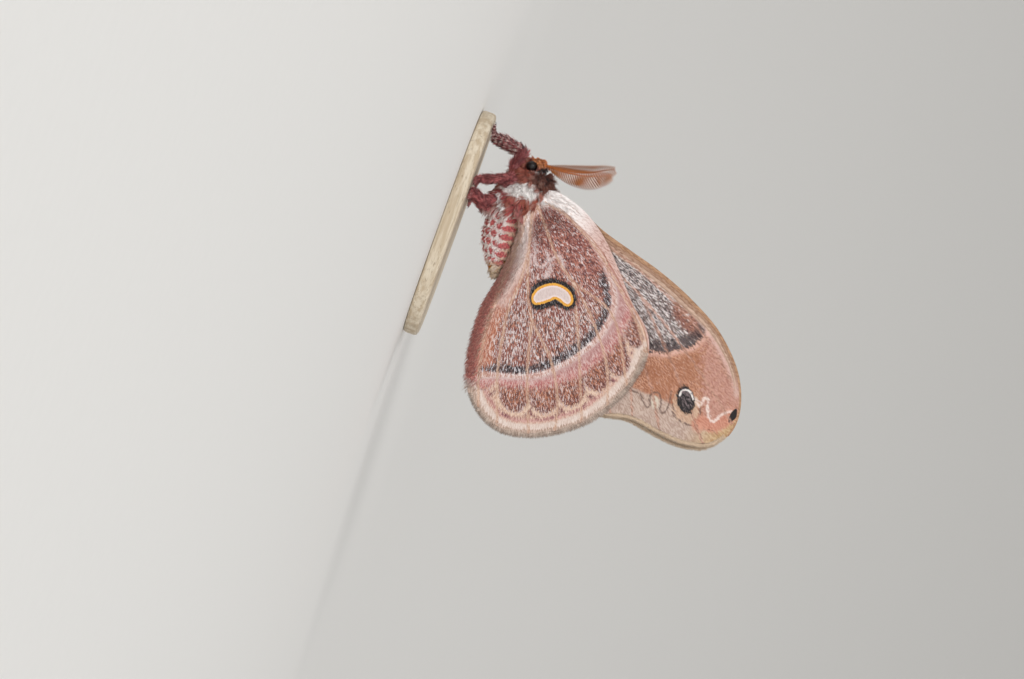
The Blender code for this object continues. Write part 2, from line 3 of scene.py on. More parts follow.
import bpy
import numpy as np
from mathutils import Matrix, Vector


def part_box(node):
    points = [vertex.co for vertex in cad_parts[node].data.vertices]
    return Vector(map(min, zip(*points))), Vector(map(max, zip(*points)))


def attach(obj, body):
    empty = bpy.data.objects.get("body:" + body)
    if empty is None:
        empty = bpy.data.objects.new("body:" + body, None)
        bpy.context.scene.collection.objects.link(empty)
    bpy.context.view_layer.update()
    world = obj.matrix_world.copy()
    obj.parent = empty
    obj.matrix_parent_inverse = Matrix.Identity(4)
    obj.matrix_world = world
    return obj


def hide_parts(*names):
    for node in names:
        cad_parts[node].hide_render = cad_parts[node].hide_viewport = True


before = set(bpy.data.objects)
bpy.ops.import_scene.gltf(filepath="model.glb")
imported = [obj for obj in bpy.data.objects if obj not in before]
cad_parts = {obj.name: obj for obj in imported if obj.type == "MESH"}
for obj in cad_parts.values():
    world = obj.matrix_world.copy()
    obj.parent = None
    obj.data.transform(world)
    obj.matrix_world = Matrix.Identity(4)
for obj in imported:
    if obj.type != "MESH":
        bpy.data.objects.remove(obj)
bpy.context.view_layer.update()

MM = 0.001

# Room and camera
# The moth clung upright to a leaf. It is set on the floor here, so the camera lies on its side
# with it: the picture's right is up, and the picture's top is the moth's front.
LENS = 105.0
SENSOR = 36.0
CAMERA_DISTANCE = 597.0
LOOK_AT = (17.65, 0.0, 21.1)
CAMERA_RIGHT = (-0.34202, 0.0, 0.93969)
CAMERA_UP = (-0.93969, 0.0, -0.34202)
FLOOR_HALF_WIDTH = 3.0          # metres, as the next two
SWEEP_START = 0.3
SWEEP_RADIUS = 1.8
PALE = (0.76, 0.75, 0.73)       # the backdrop's colour, as the renderer's linear values


def place_object(name, data, turn, spot):
    """An object in the scene, turned to three directions and set at a place in metres."""
    matrix = np.eye(4)
    matrix[:3, :3] = np.column_stack(turn)
    matrix[:3, 3] = spot
    obj = bpy.data.objects.new(name, data)
    obj.matrix_world = Matrix(matrix.tolist())
    bpy.context.scene.collection.objects.link(obj)
    return obj


lens = bpy.data.cameras.new("camera")
lens.lens = LENS
lens.sensor_width = SENSOR
lens.clip_start = 0.01
lens.clip_end = 20.0
back = np.array((0.0, -1.0, 0.0))
bpy.context.scene.camera = place_object("camera", lens, (CAMERA_RIGHT, CAMERA_UP, back),
                                        (np.array(LOOK_AT) + CAMERA_DISTANCE * back) * MM)
bpy.context.scene.view_settings.view_transform = "Standard"


def grid_faces(rows, columns):
    """Four-cornered faces between the points of a grid, row by row."""
    corner = np.arange(rows * columns).reshape(rows, columns)
    return np.stack([corner[:-1, :-1], corner[:-1, 1:], corner[1:, 1:], corner[1:, :-1]],
                    axis=-1).reshape(-1, 4)


def add_mesh(name, verts, *face_arrays):
    """An object from places in metres and arrays of faces that have like numbers of corners."""
    mesh = bpy.data.meshes.new(name)
    mesh.vertices.add(len(verts))
    mesh.vertices.foreach_set("co", np.ascontiguousarray(verts, np.float32).ravel())
    corners = np.concatenate([faces.ravel() for faces in face_arrays]).astype(np.int32)
    sizes = np.concatenate([np.full(len(faces), faces.shape[1]) for faces in face_arrays])
    mesh.loops.add(len(corners))
    mesh.loops.foreach_set("vertex_index", corners)
    mesh.polygons.add(len(sizes))
    mesh.polygons.foreach_set("loop_start", (np.cumsum(sizes) - sizes).astype(np.int32))
    mesh.update(calc_edges=True)
    mesh.shade_smooth()
    obj = bpy.data.objects.new(name, mesh)
    bpy.context.scene.collection.objects.link(obj)
    return obj


def new_material(name, values):
    """An empty finish with these values of its shader. Every node made from here on is its own."""
    global tree
    material = bpy.data.materials.new(name)
    material.use_nodes = True
    tree = material.node_tree
    shader = tree.nodes["Principled BSDF"]
    for key, value in values.items():
        shader.inputs[key].default_value = value
    return material, shader


class Value:
    """What a node of a finish gives. Sums on it, as on a number, make the nodes they need."""

    def __init__(self, socket):
        self.socket = socket

    def __add__(self, other):
        return sums("ADD", self, other)

    def __sub__(self, other):
        return sums("SUBTRACT", self, other)

    def __rsub__(self, other):
        return sums("SUBTRACT", other, self)

    def __mul__(self, other):
        return sums("MULTIPLY", self, other)


def paint(shader, face):
    """Gives the surface its colour."""
    feed(shader.inputs["Base Color"], face)


def colour(red, green, blue):
    """A colour given as on a screen, 0 to 255, turned into the renderer's linear values."""
    share = np.array((red, green, blue)) / 255
    linear = np.where(share > 0.04045, ((share + 0.055) / 1.055) ** 2.4, share / 12.92)
    return (*linear.tolist(), 1.0)


def feed(socket, value):
    """Links a socket to a Value, or sets it to a number, a list or a colour as on a screen."""
    if isinstance(value, Value):
        tree.links.new(value.socket, socket)
    else:
        socket.default_value = colour(*value) if isinstance(value, tuple) else value


def new_node(kind, output, inputs, **settings):
    """Makes a node of the finish in hand and gives one of its outputs."""
    node = tree.nodes.new("ShaderNode" + kind)
    for key, value in settings.items():
        setattr(node, key, value)
    for key, value in inputs.items():
        feed(node.inputs[key], value)
    return Value(node.outputs[output])


def places(stretch=(1.0, 1.0, 1.0), shift=0.0):
    """Object coordinates in millimetres, stretched along the axes and shifted."""
    source = new_node("TexCoord", "Object", {})
    scale = [1000.0 * share for share in stretch]
    return new_node("Mapping", "Vector", {"Vector": source, "Scale": scale, "Location": [shift] * 3},
                    vector_type="POINT")


def noise(vector, scale, detail=2.0, roughness=0.5):
    """Soft random values about 0.5; scale is blobs per millimetre."""
    return new_node("TexNoise", "Fac", {"Vector": vector, "Scale": scale, "Detail": detail,
                                        "Roughness": roughness})


def over(share, below, above):
    """Lays a colour over another where share is 1."""
    return new_node("Mix", "Result", {"Factor": share, "A": below, "B": above}, data_type="RGBA")


def sweep_profile(count):
    """The floor from front to back, then a quarter circle up, then the wall, as (y, z)."""
    bend = np.linspace(0, math.pi / 2, count)
    curve_y = SWEEP_START + SWEEP_RADIUS * np.sin(bend)
    curve_z = SWEEP_RADIUS * (1 - np.cos(bend))
    front, wall = [(-FLOOR_HALF_WIDTH, 0.0)], [(curve_y[-1], FLOOR_HALF_WIDTH)]
    return np.vstack([front, np.column_stack([curve_y, curve_z]), wall])


profile = sweep_profile(24)
reach = np.array([-FLOOR_HALF_WIDTH, FLOOR_HALF_WIDTH])
verts = np.column_stack([np.repeat(reach, len(profile)), np.tile(profile, (2, 1))])
floor = add_mesh("floor", verts, grid_faces(2, len(profile)))
paper, shader = new_material("backdrop_paper", {"Roughness": 0.9})
paint(shader, over(noise(places(), 0.8, 3.0), [*PALE, 1.0], [*(0.97 * part for part in PALE), 1.0]))
floor.data.materials.append(paper)

LIT_POINT = (0.01, 0.0, 0.02)    # what the lamps face, in metres
LIGHTS = {
    # place in metres, size in metres, power in watts
    "key_light": ((-0.65, -1.25, 0.45), 0.50, 9.4),
    "fill_light": ((0.55, -1.25, 0.35), 0.80, 5.0),
    "top_light": ((0.10, 0.30, 1.20), 0.80, 4.2),
}
for name, (spot, size, power) in LIGHTS.items():
    lamp = bpy.data.lights.new(name, "AREA")
    lamp.size = size
    lamp.energy = power
    aim = np.subtract(spot, LIT_POINT)
    aim /= np.linalg.norm(aim)
    side = np.cross((0.0, 0.0, 1.0), aim)
    side /= np.linalg.norm(side)
    place_object(name, lamp, (side, np.cross(aim, side), aim), spot)
world = bpy.data.worlds.new("studio")
world.use_nodes = True
sky = world.node_tree.nodes["Background"].inputs
sky["Color"].default_value = (1.0, 0.99, 0.97, 1.0)
sky["Strength"].default_value = 0.45
bpy.context.scene.world = world

# Stand base
# A plain rounded plate of pale limed wood that carries the six feet. It is sanded smooth, its
# edges are broken, and the grain runs from head to tail.


def step(value, low, high):
    """Rises smoothly from 0 where value is low to 1 where it is high, or falls if high < low."""
    start, end = (0.0, 1.0) if high > low else (1.0, 0.0)
    return new_node("MapRange", "Result",
                    {"Value": value, "From Min": min(low, high), "From Max": max(low, high),
                     "To Min": start, "To Max": end}, interpolation_type="SMOOTHSTEP")


def sums(operation, first, second=0.0, third=0.0):
    """One sum on numbers or Values."""
    return new_node("Math", 0, {0: first, 1: second, 2: third}, operation=operation)


def layered(face, *layers):
    """Lays colours over a first one, each where its own share is 1."""
    for share, tone in layers:
        face = over(share, face, tone)
    return face


def relief(shader, height, depth):
    """Turns a height from 0 to 1 into a bump that many millimetres deep."""
    feed(shader.inputs["Normal"], new_node("Bump", "Normal", {"Distance": depth * MM, "Height": height}))


wood, shader = new_material("limed_wood", {"Roughness": 0.62})
rings = noise(places((0.06, 0.9, 0.9)), 1.1, 4.0, 0.6)
pores = step(noise(places((0.35, 7.0, 7.0)), 1.0, 2.0), 0.60, 0.74)
paint(shader, layered(
    (214, 201, 180), (step(rings, 0.38, 0.62), (188, 170, 144)), (pores, (150, 130, 104))))
relief(shader, rings - pores, 0.03)
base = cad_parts["stand_base"]
base.data.materials.clear()
base.data.materials.append(wood)

# Body
# One soft skin over head, thorax and abdomen, under the whole coat. The thorax is round and deep,
# the abdomen short and banded by seven segments.
HINGE_ALONG = -10.0
HINGE_UP = 15.5
# along, up, half height, half width
BODY = [
    (-8.25, -1.35, 0.0, 0.0), (-7.95, -1.4, 0.9, 0.9), (-7.4, -1.7, 1.75, 1.5),
    (-6.6, -1.8, 2.2, 1.9), (-5.8, -1.9, 2.3, 2.0), (-5.2, -1.8, 2.4, 2.0), (-4.7, -1.5, 3.3, 2.7),
    (-4.0, -1.35, 4.1, 3.3), (-3.2, -1.4, 4.6, 3.7), (-2.0, -1.6, 5.1, 4.2), (0.0, -1.9, 5.3, 4.4),
    (2.0, -2.5, 5.35, 4.3), (3.6, -3.2, 4.7, 3.8), (4.5, -3.75, 3.8, 3.4), (5.2, -3.9, 3.5, 3.4),
    (6.5, -3.85, 3.65, 3.55), (8.8, -3.7, 3.65, 3.55), (11.1, -3.5, 3.3, 3.25),
    (13.0, -3.05, 2.65, 2.7), (14.9, -2.6, 1.8, 1.85), (16.3, -2.2, 1.0, 1.1),
    (16.9, -2.05, 0.0, 0.0),
]
ABDOMEN_START = 4.6
ABDOMEN_END = 16.9
SEGMENTS = 7
SEGMENT_DEPTH = 0.2


def place_on_moth(points):
    """Places on the moth, in millimetres, as the frame's metres."""
    return (np.asarray(points, float) + (HINGE_ALONG, 0.0, HINGE_UP)) * MM


def smooth_path(points, spacing, closed=False, round_ends=False):
    """A centripetal Catmull-Rom curve through the points, with samples about spacing apart.

    Each given point is a sample. With round_ends, the last two values of a point are half
    sizes that reach zero at both ends, and the curve turns over there.
    """
    points = np.asarray(points, float)
    if closed:
        chain = np.vstack([points[-1], points, points[:2]])
    else:
        first, last = 2 * points[0] - points[1], 2 * points[-1] - points[-2]
        if round_ends:
            first, last = points[1] * (1, 1, -1, -1), points[-2] * (1, 1, -1, -1)
        chain = np.vstack([first, points, last])
    samples = []
    for p0, p1, p2, p3 in zip(chain, chain[1:], chain[2:], chain[3:]):
        t1 = np.linalg.norm(p1 - p0) ** 0.5
        t2 = t1 + np.linalg.norm(p2 - p1) ** 0.5
        t3 = t2 + np.linalg.norm(p3 - p2) ** 0.5
        count = max(1, round(np.linalg.norm(p2 - p1) / spacing))
        t = np.linspace(t1, t2, count, endpoint=False)[:, None]
        a1 = (t1 - t) / t1 * p0 + t / t1 * p1
        a2 = (t2 - t) / (t2 - t1) * p1 + (t - t1) / (t2 - t1) * p2
        a3 = (t3 - t) / (t3 - t2) * p2 + (t - t2) / (t3 - t2) * p3
        b1 = (t2 - t) / t2 * a1 + t / t2 * a2
        b2 = (t3 - t) / (t3 - t1) * a2 + (t - t1) / (t3 - t1) * a3
        samples.append((t2 - t) / (t2 - t1) * b1 + (t - t1) / (t2 - t1) * b2)
    if not closed:
        samples.append(points[-1:])
    return np.vstack(samples)


def unit(vectors):
    """Vectors scaled to length one."""
    return vectors / np.maximum(np.linalg.norm(vectors, axis=-1, keepdims=True), 1e-9)


def ease(value, low, high):
    """Rises smoothly from 0 at low to 1 at high, which may be the lower number."""
    part = np.clip((value - low) / (high - low), 0, 1)
    return part * part * (3 - 2 * part)


def run_of(line):
    """How far along a line each of its points lies."""
    return np.concatenate([[0.0], np.cumsum(np.linalg.norm(np.diff(line, axis=0), axis=1))])


body_profile = smooth_path(BODY, 0.08, round_ends=True)
body_run = run_of(body_profile)
body_run /= body_run[-1]


def body_row(along):
    """Segments of the abdomen up to there, as a number that goes on between them."""
    return (along - ABDOMEN_START) / (ABDOMEN_END - ABDOMEN_START) * SEGMENTS


def body_at(run, angle):
    """Point of the body's skin: run goes from face to tail tip, angle from the back over the
    right side round the belly. Each ring is an oval; the abdomen draws in between segments."""
    along, middle, height, width = [np.interp(run, body_run, column) for column in body_profile.T]
    segment = body_row(along)
    groove = np.where((segment > 0.4) & (segment < SEGMENTS - 0.3),
                      SEGMENT_DEPTH * np.abs(np.cos(math.pi * segment)) ** 3, 0.0)
    height, width = np.maximum(height - groove, 0), np.maximum(width - groove, 0)
    return np.stack([along, width * np.sin(angle), middle + height * np.cos(angle)], axis=-1)


def body_outward(run, angle):
    """Outward direction of the skin there, from the slopes along and round it."""
    small = 0.002
    ahead = body_at(np.clip(run + small, 0, 1), angle) - body_at(np.clip(run - small, 0, 1), angle)
    round_it = body_at(run, angle + 0.02) - body_at(run, angle - 0.02)
    return unit(np.cross(ahead, round_it))


# Markings of skin and coat alike: along, up, half sizes along and up, tilt in degrees
PATCHES = {
    "white": [(-0.6, -1.3, 1.5, 2.0, 0.0), (-0.3, -3.3, 1.5, 1.9, 0.0), (0.0, -5.2, 1.0, 1.4, 15.0),
              (2.6, -6.6, 1.1, 1.3, 20.0), (3.7, -5.0, 0.8, 1.2, 0.0)],
    "dark": [(-3.5, 1.7, 2.0, 3.0, 0.0), (-5.5, 0.6, 0.9, 1.4, 0.0)],
    "black": [(-5.7, 0.0, 0.8, 1.2, 10.0)],
    "orange": [(-7.5, -1.0, 1.1, 1.5, 15.0), (-7.9, -2.6, 0.6, 1.3, 0.0)],
    "rose": [(2.9, -2.4, 1.5, 1.1, 10.0), (1.4, -5.6, 1.0, 1.4, 0.0)],
}
AMBER_SPOTS = [(15.3, -3.6, 0.6, 0.5, 0.0), (13.7, -0.9, 0.5, 0.45, 0.0)]
COLLAR_ALONG = -5.0             # a thin white stripe behind the head
COLLAR_HALF_WIDTH = 0.2
COLLAR_WHITE = 0.85
CELLS_ROUND = 13                # rose cells of the abdomen in a whole turn, one row a segment
SIDE_CELL = 2.0                 # angle from the belly at which each segment's wide cell lies


def patch(points, patches):
    """1 inside any of the oval patches, falling to 0 across their soft edges."""
    share = np.zeros(len(points))
    for along, up, half_along, half_up, tilt in patches:
        angle = math.radians(tilt)
        x, z = points[:, 0] - along, points[:, 2] - up
        a = (x * math.cos(angle) + z * math.sin(angle)) / half_along
        b = (z * math.cos(angle) - x * math.sin(angle)) / half_up
        share = np.maximum(share, 1 - ease(np.hypot(a, b), 0.8, 1.2))
    return share


def body_marks(points, angle):
    """Shares of the coat's colours at places on the body. Cells are ovals at the middle of each
    segment, small round the belly and one wide patch up each side."""
    along, up = points[:, 0], points[:, 2]
    abdomen = ease(along, 4.0, 5.0)
    from_belly = np.abs(np.mod(angle, 2 * math.pi) - math.pi)
    row = body_row(along)
    in_row = np.mod(row, 1) - 0.5
    in_column = np.mod(from_belly * CELLS_ROUND / (2 * math.pi) + 0.5 * np.floor(row), 1) - 0.5
    small = 1 - np.hypot(in_row / 0.45, in_column / 0.44)
    aside = from_belly - SIDE_CELL
    wide = 1 - np.hypot((in_row + 0.4 * aside) / 0.37, aside / 0.46)
    collar = ease(np.abs(along - COLLAR_ALONG), 2 * COLLAR_HALF_WIDTH, COLLAR_HALF_WIDTH)
    collar = COLLAR_WHITE * collar * ease(up, -2.4, -1.4)
    marks = {key: patch(points, patches) * (1 - abdomen) for key, patches in PATCHES.items()}
    return {
        **marks,
        "white": np.maximum(marks["white"], collar),
        "amber": patch(points, AMBER_SPOTS),
        "abdomen": abdomen,
        "cell": np.where(from_belly > 1.56, wide, small),
        "belly": ease(from_belly, 2.3, 1.5),
        "tail_tip": ease(along, 13.8, 15.6),
    }


def mark(obj, marks):
    """Keeps numbers or ways as named values on the vertices, for the material to read."""
    for name, values in marks.items():
        kind, key = ("FLOAT_VECTOR", "vector") if np.ndim(values) == 2 else ("FLOAT", "value")
        layer = obj.data.attributes.new(name, kind, "POINT")
        layer.data.foreach_set(key, np.ascontiguousarray(values, np.float32).ravel())


def read(name):
    """A named value of the mesh."""
    return new_node("Attribute", "Fac", {}, attribute_name=name)


def coat_colour():
    """The coat's colours: red-brown, with dark back, white tufts, orange brow, rose and cream."""
    face = layered(
        (178, 98, 80), (read("rose"), (184, 82, 80)), (read("dark"), (124, 74, 60)),
        (read("black"), (34, 24, 26)), (read("orange"), (230, 150, 92)),
        (read("white"), (250, 246, 244)))
    cells = layered(
        (222, 184, 156), (read("belly"), (250, 242, 240)),
        (step(read("cell"), -0.08, 0.1), (210, 104, 105)), (read("tail_tip"), (214, 190, 160)),
        (read("amber"), (206, 128, 22)))
    return over(read("abdomen"), face, cells)


skin_finish, shader = new_material("body_skin", {"Roughness": 0.75})
down = noise(places((0.5, 1.6, 1.6)), 4.0, 3.0)
dark_share = step(down, 0.35, 0.7) * (1.0 - read("white"))
paint(shader, over(dark_share, coat_colour(), (96, 56, 50)))
relief(shader, down, 0.12)

coat_finish, shader = new_material("body_coat", {
    "Roughness": 0.6, "Sheen Weight": 0.15, "Sheen Roughness": 0.5, "Specular IOR Level": 0.25})
shade = read("shade")
coat = coat_colour()
# deep is a darker tone of the coat: it darkens the darker locks, and as painted shade it darkens every tuft
# towards its root
deep = over(read("white"), (60, 28, 26), (238, 222, 218))
lattice_deep = over(step(read("cell"), -0.08, 0.1), (246, 230, 226), (164, 58, 66))
deep = over(0.6, coat, over(read("abdomen"), deep, lattice_deep))
paint(shader, layered(
    coat, (step(shade, 0.5, 0.0) * 0.75, deep), (step(shade, 0.6, 1.0) * 0.35, (244, 222, 208)),
    # painted shade: the tufts darken towards their roots, where they lie under others
    (step(read("reach"), 0.6, 0.0) * 0.75, deep)))

BODY_RINGS = 298
BODY_SIDES = 96


def turns(sides):
    """Angles evenly round a whole turn."""
    return np.linspace(0, 2 * math.pi, sides, endpoint=False)


def ring_faces(rings, sides):
    """Faces of a closed tube: four-cornered ones between its rings, and at each end a fan round
    the first or the last point."""
    number = 1 + np.arange(rings)[:, None] * sides + np.append(np.arange(sides), 0)
    walls = np.stack([number[:-1, :-1], number[:-1, 1:], number[1:, 1:], number[1:, :-1]], axis=-1)
    return [walls.reshape(-1, 4),
            np.column_stack([np.full(sides, 0), number[0, 1:], number[0, :-1]]),
            np.column_stack([np.full(sides, rings * sides + 1), number[-1, :-1], number[-1, 1:]])]


run = np.linspace(0, 1, BODY_RINGS + 2)
angle = turns(BODY_SIDES)
rings = body_at(*np.meshgrid(run[1:-1], angle, indexing="ij"))
verts = np.vstack([body_at(0.0, 0.0), rings.reshape(-1, 3), body_at(1.0, 0.0)])
walls = [np.roll(faces[:, ::-1], 1, axis=1) for faces in ring_faces(BODY_RINGS, BODY_SIDES)]
skin = add_mesh("body_skin", place_on_moth(verts), *walls)
ring_angle = np.concatenate([[math.pi / 2], np.tile(angle, BODY_RINGS), [math.pi / 2]])
mark(skin, body_marks(verts, ring_angle))
skin.data.materials.append(skin_finish)
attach(skin, "root")
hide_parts("head", "thorax", "abdomen")

# Wings
# Four thin, stiff sheets clothed in scales, closed over the back. Two layers of membrane carry
# raised veins between them; the hindwings lie outside, and each hinge is hidden in the fur.
WINGS_APART = 0.75
ROOT_SPREAD = 2.1
ROOT_REACH = 9.0
LAYER = 1.2
ABDOMEN_ROOM = 1.3
ROOT_SUNK = 0.9                 # how far the hindwing's root lies back in the fur
RIGHT_FOREWING_TURN = -1.1      # degrees that the right forewing lies further tailward
MEMBRANE = 0.13                 # thickness
EDGE_MEMBRANE = 0.05
FRONT_VEIN = 0.16               # the front margin's extra half thickness
PLEAT = 0.14                    # how far the sheet rises to its veins
PLEAT_WIDTH = 1.0
FRINGE = 1.5                    # length of the margin's hair scales
BARE_FRINGE = 0.9               # how much of it stands off the sheet
FAN_FROM = (-3.0, -3.0)         # the point that a wing's scales and hairs fan out from
# (along, up) round each wing: from the hinge over the front margin to the tip and back
FOREWING = [
    (-1.6, 1.2), (-2.4, 4.7), (-1.5, 9.4), (0.9, 15.0), (2.8, 21.6), (4.8, 28.8), (7.7, 36.2),
    (12.2, 44.2), (19.2, 50.8), (26.3, 53.4), (31.0, 52.8), (34.4, 50.0), (35.8, 44.5),
    (35.4, 38.9), (34.7, 33.3), (35.6, 27.4), (33.6, 25.2), (24.0, 18.2), (12.0, 9.4), (2.6, 1.8),
]
FOREWING_TIP = 10               # the outline's points where the front and outer margins end
FOREWING_REAR = 15
HINDWING = [
    (-1.2, 0.2), (-2.9, 3.2), (-1.7, 9.4), (1.4, 14.8), (6.7, 20.3), (12.6, 25.6), (17.0, 30.4),
    (21.3, 32.2), (26.8, 31.7), (33.5, 29.0), (38.0, 26.0), (42.1, 21.1), (44.9, 15.7),
    (46.0, 9.7), (44.4, 4.9), (40.5, 0.9), (36.3, -0.4), (30.4, -1.7), (23.1, -2.0),
    (14.2, -0.5), (8.5, -0.2), (2.8, -1.2),
]
HINDWING_TIP = 7
HINDWING_REAR = 15
FOREWING_ROOT = [(-1.6, 1.2), (-0.9, -1.4), (1.6, -1.2), (2.6, 1.8)]
HINDWING_ROOT = [(-1.2, 0.2), (-0.6, -1.9), (1.8, -2.6), (2.8, -1.2)]
FOREWING_VEINS = [
    [(-0.8, 3.0), (2.6, 14.5), (7.6, 29.0), (14.3, 42.0), (20.4, 49.4)],
    [(0.4, 3.0), (5.0, 14.0), (10.8, 27.0), (17.4, 38.0), (23.6, 46.6), (28.4, 52.6)],
    [(10.8, 27.0), (18.6, 34.8), (26.0, 41.6), (34.6, 48.8)],
    [(1.6, 2.6), (8.4, 12.4), (15.6, 22.6), (20.6, 29.4), (27.8, 35.4), (35.2, 39.8)],
    [(15.6, 22.6), (23.6, 28.6), (34.6, 33.8)],
    [(8.4, 12.4), (20.0, 20.6), (34.6, 29.0)],
]
HINDWING_VEINS = [
    [(-0.2, 2.6), (0.6, 6.6), (4.8, 15.0), (10.0, 21.4), (15.6, 27.4), (20.8, 31.4)],
    [(1.2, 1.4), (4.8, 4.6), (9.0, 8.2), (12.6, 13.0), (16.0, 22.4), (29.0, 30.6)],
    [(12.6, 13.0), (18.4, 19.2), (25.6, 24.8), (34.4, 28.3)],
    [(12.6, 13.0), (17.4, 15.4), (25.0, 18.8), (39.2, 24.6)],
    [(2.4, 0.6), (9.5, 2.6), (17.3, 5.2), (22.6, 8.0), (28.8, 14.2), (35.8, 18.2), (43.0, 20.1)],
    [(22.6, 8.0), (31.8, 10.4), (45.0, 15.4)],
    [(9.5, 2.6), (16.0, 3.2), (23.0, 2.9), (28.0, 3.7), (35.0, 5.2), (45.6, 8.9)],
    [(3.6, -0.2), (12.0, 0.6), (18.2, 0.1), (28.8, 0.3), (36.0, 1.6), (43.0, 4.0)],
]


def forewing_level(along, up):
    """Distance of the forewing from the moth's mid plane: a little at the tip, more at the
    hinge, where it falls off as an exponential of the distance from the hinge."""
    reach = np.hypot(along, up)
    return WINGS_APART + ROOT_SPREAD * np.exp(-(reach / ROOT_REACH) ** 1.5)


def hindwing_level(along, up):
    """The forewing's level and a layer more, sunk at the root, and further out where it passes
    the abdomen."""
    near_body = 1 - ease(up, 1.0, 5.0)
    beside_abdomen = ease(along, 0.5, 3.5) * (1 - ease(along, 3.0, 22.0))
    sunk = ROOT_SUNK * (1 - ease(np.hypot(along, up), 2.0, 6.5)) * (1 - ease(up, -1.0, 1.5))
    return forewing_level(along, up) + LAYER - sunk + ABDOMEN_ROOM * near_body * beside_abdomen


def nearest(points, line, closed=False):
    """Distance from points to a line of short segments, the side (+1 left of its run, -1
    right) and how far along it the nearest spot lies, from 0 to 1."""
    line = np.asarray(line, float)
    start = line if closed else line[:-1]
    run = np.roll(line, -1, axis=0) - line if closed else line[1:] - line[:-1]
    length = np.linalg.norm(run, axis=1)
    before = np.concatenate([[0.0], np.cumsum(length)])
    found = [[], [], []]
    for part in np.array_split(points, max(1, len(points) // 4000)):
        offset = part[:, None] - start
        share = np.clip((offset * run).sum(2) / length**2, 0, 1)
        gap = offset - share[..., None] * run
        far = np.hypot(gap[..., 0], gap[..., 1])
        best = far.argmin(axis=1)
        row = np.arange(len(part))
        cross = run[best, 0] * gap[row, best, 1] - run[best, 1] * gap[row, best, 0]
        found[0].append(far[row, best])
        found[1].append(np.sign(cross))
        found[2].append((before[best] + share[row, best] * length[best]) / before[-1])
    return [np.concatenate(values) for values in found]


def to_lines(points, lines, spacing=0.8):
    """Distance to the nearest of several smooth lines."""
    return np.min([nearest(points, smooth_path(line, spacing))[0] for line in lines], axis=0)


def depth_in(points, outline, spacing=0.6):
    """How deep points lie inside a smooth closed outline; outside it the number is negative."""
    rim = smooth_path(outline, spacing, closed=True)
    x, y = points[:, 0, None], points[:, 1, None]
    x1, y1 = rim.T
    x2, y2 = np.roll(rim, -1, axis=0).T
    straddles = (y1 > y) != (y2 > y)
    crossing = x1 + (y - y1) * (x2 - x1) / np.where(y2 == y1, 1.0, y2 - y1)
    inside = (straddles & (x < crossing)).sum(axis=1) % 2 == 1
    return np.where(inside, 1.0, -1.0) * nearest(points, rim, closed=True)[0]


def read_off(line, run, at):
    """Places on a line, or other values kept along it, at given lengths of its run."""
    return np.column_stack([np.interp(at, run, column) for column in line.T])


def even(line, count):
    """A line read off again at that many even steps."""
    run = run_of(line)
    return read_off(line, run, np.linspace(0, run[-1], count))


def stood(flat, across):
    """Flat (along, up) places or ways as (along, across, up) ones."""
    return np.column_stack([flat[:, 0], np.broadcast_to(across, len(flat)), flat[:, 1]])


def fan(flat):
    """The lie of scales and hairs on a wing laid flat."""
    return unit(flat - FAN_FROM)


def margin_lines(outline, tip, rear):
    """Front, outer and inner margin of a wing, cut from its smooth closed outline."""
    rim = smooth_path(outline, 0.25, closed=True)
    cut = [np.linalg.norm(rim - outline[i], axis=1).argmin() for i in (tip, rear, len(outline) - 1)]
    return rim[:cut[0] + 1], rim[cut[0]:cut[1] + 1], rim[cut[1]:cut[2] + 1]


def wing_sheet(front, outer, inner, root, rows, columns):
    """A Coons patch: each point blends the front and inner margins by its row share and the
    root and outer margins by its column share, less the blend of the four corners."""
    v, u = np.linspace(0, 1, rows)[:, None, None], np.linspace(0, 1, columns)[None, :, None]
    front, inner = even(front, columns)[None], even(inner[::-1], columns)[None]
    root, outer = even(root, rows)[:, None], even(outer, rows)[:, None]
    corners = ((1 - u) * ((1 - v) * root[0] + v * root[-1])
               + u * ((1 - v) * outer[0] + v * outer[-1]))
    return (1 - v) * front + v * inner + (1 - u) * root + u * outer - corners


def pulled_in(line, amount):
    """The outer margin drawn in by the fringe, less towards its two ends."""
    run = unit(np.gradient(line, axis=0))
    inward = np.column_stack([run[:, 1], -run[:, 0]])
    taper = np.minimum(1, np.minimum(np.linspace(0, 12, len(line)), np.linspace(12, 0, len(line))))
    return line + inward * amount * taper[:, None]


def turned(points, degrees):
    """Places in the wing's plane, turned about the hinge."""
    angle = math.radians(degrees)
    along, up = points[..., 0], points[..., 1]
    return np.stack([along * math.cos(angle) - up * math.sin(angle),
                     along * math.sin(angle) + up * math.cos(angle)], axis=-1)


# Markings of the hindwing, as (along, up) lines and outlines on the wing laid flat
CENTRAL_FIELD = [
    (0.8, 2.4), (0.3, 5.6), (2.0, 10.4), (3.6, 13.2), (5.8, 15.5), (8.2, 18.0), (10.6, 20.0),
    (12.8, 21.2), (15.8, 22.0), (19.4, 21.7), (23.3, 20.4), (26.8, 18.2), (30.0, 15.4),
    (32.6, 11.8), (34.2, 8.6), (34.9, 5.4), (35.6, 1.4), (35.4, 0.5), (28.8, 0.2), (22.0, 0.6),
    (17.5, 2.4), (14.0, 3.6), (11.5, 3.0), (7.0, 2.3), (3.0, 1.6),
]
WHITE_BAND = [
    (37.3, -0.8), (36.9, 1.5), (35.4, 5.5), (34.4, 8.8), (33.1, 12.3), (31.7, 14.4), (30.2, 15.7),
    (27.8, 18.0), (25.6, 19.4), (22.4, 21.4), (19.6, 22.4), (16.0, 22.9), (12.6, 22.1), (9.7, 20.1),
]
COSTAL_LINE = [
    (0.8, 1.7), (0.1, 3.7), (0.0, 5.8), (1.0, 8.3), (2.0, 10.7), (3.2, 13.3), (4.8, 16.0),
    (7.1, 19.0), (10.0, 22.2), (12.7, 25.3), (15.6, 28.5), (17.7, 30.3), (20.8, 32.0),
]
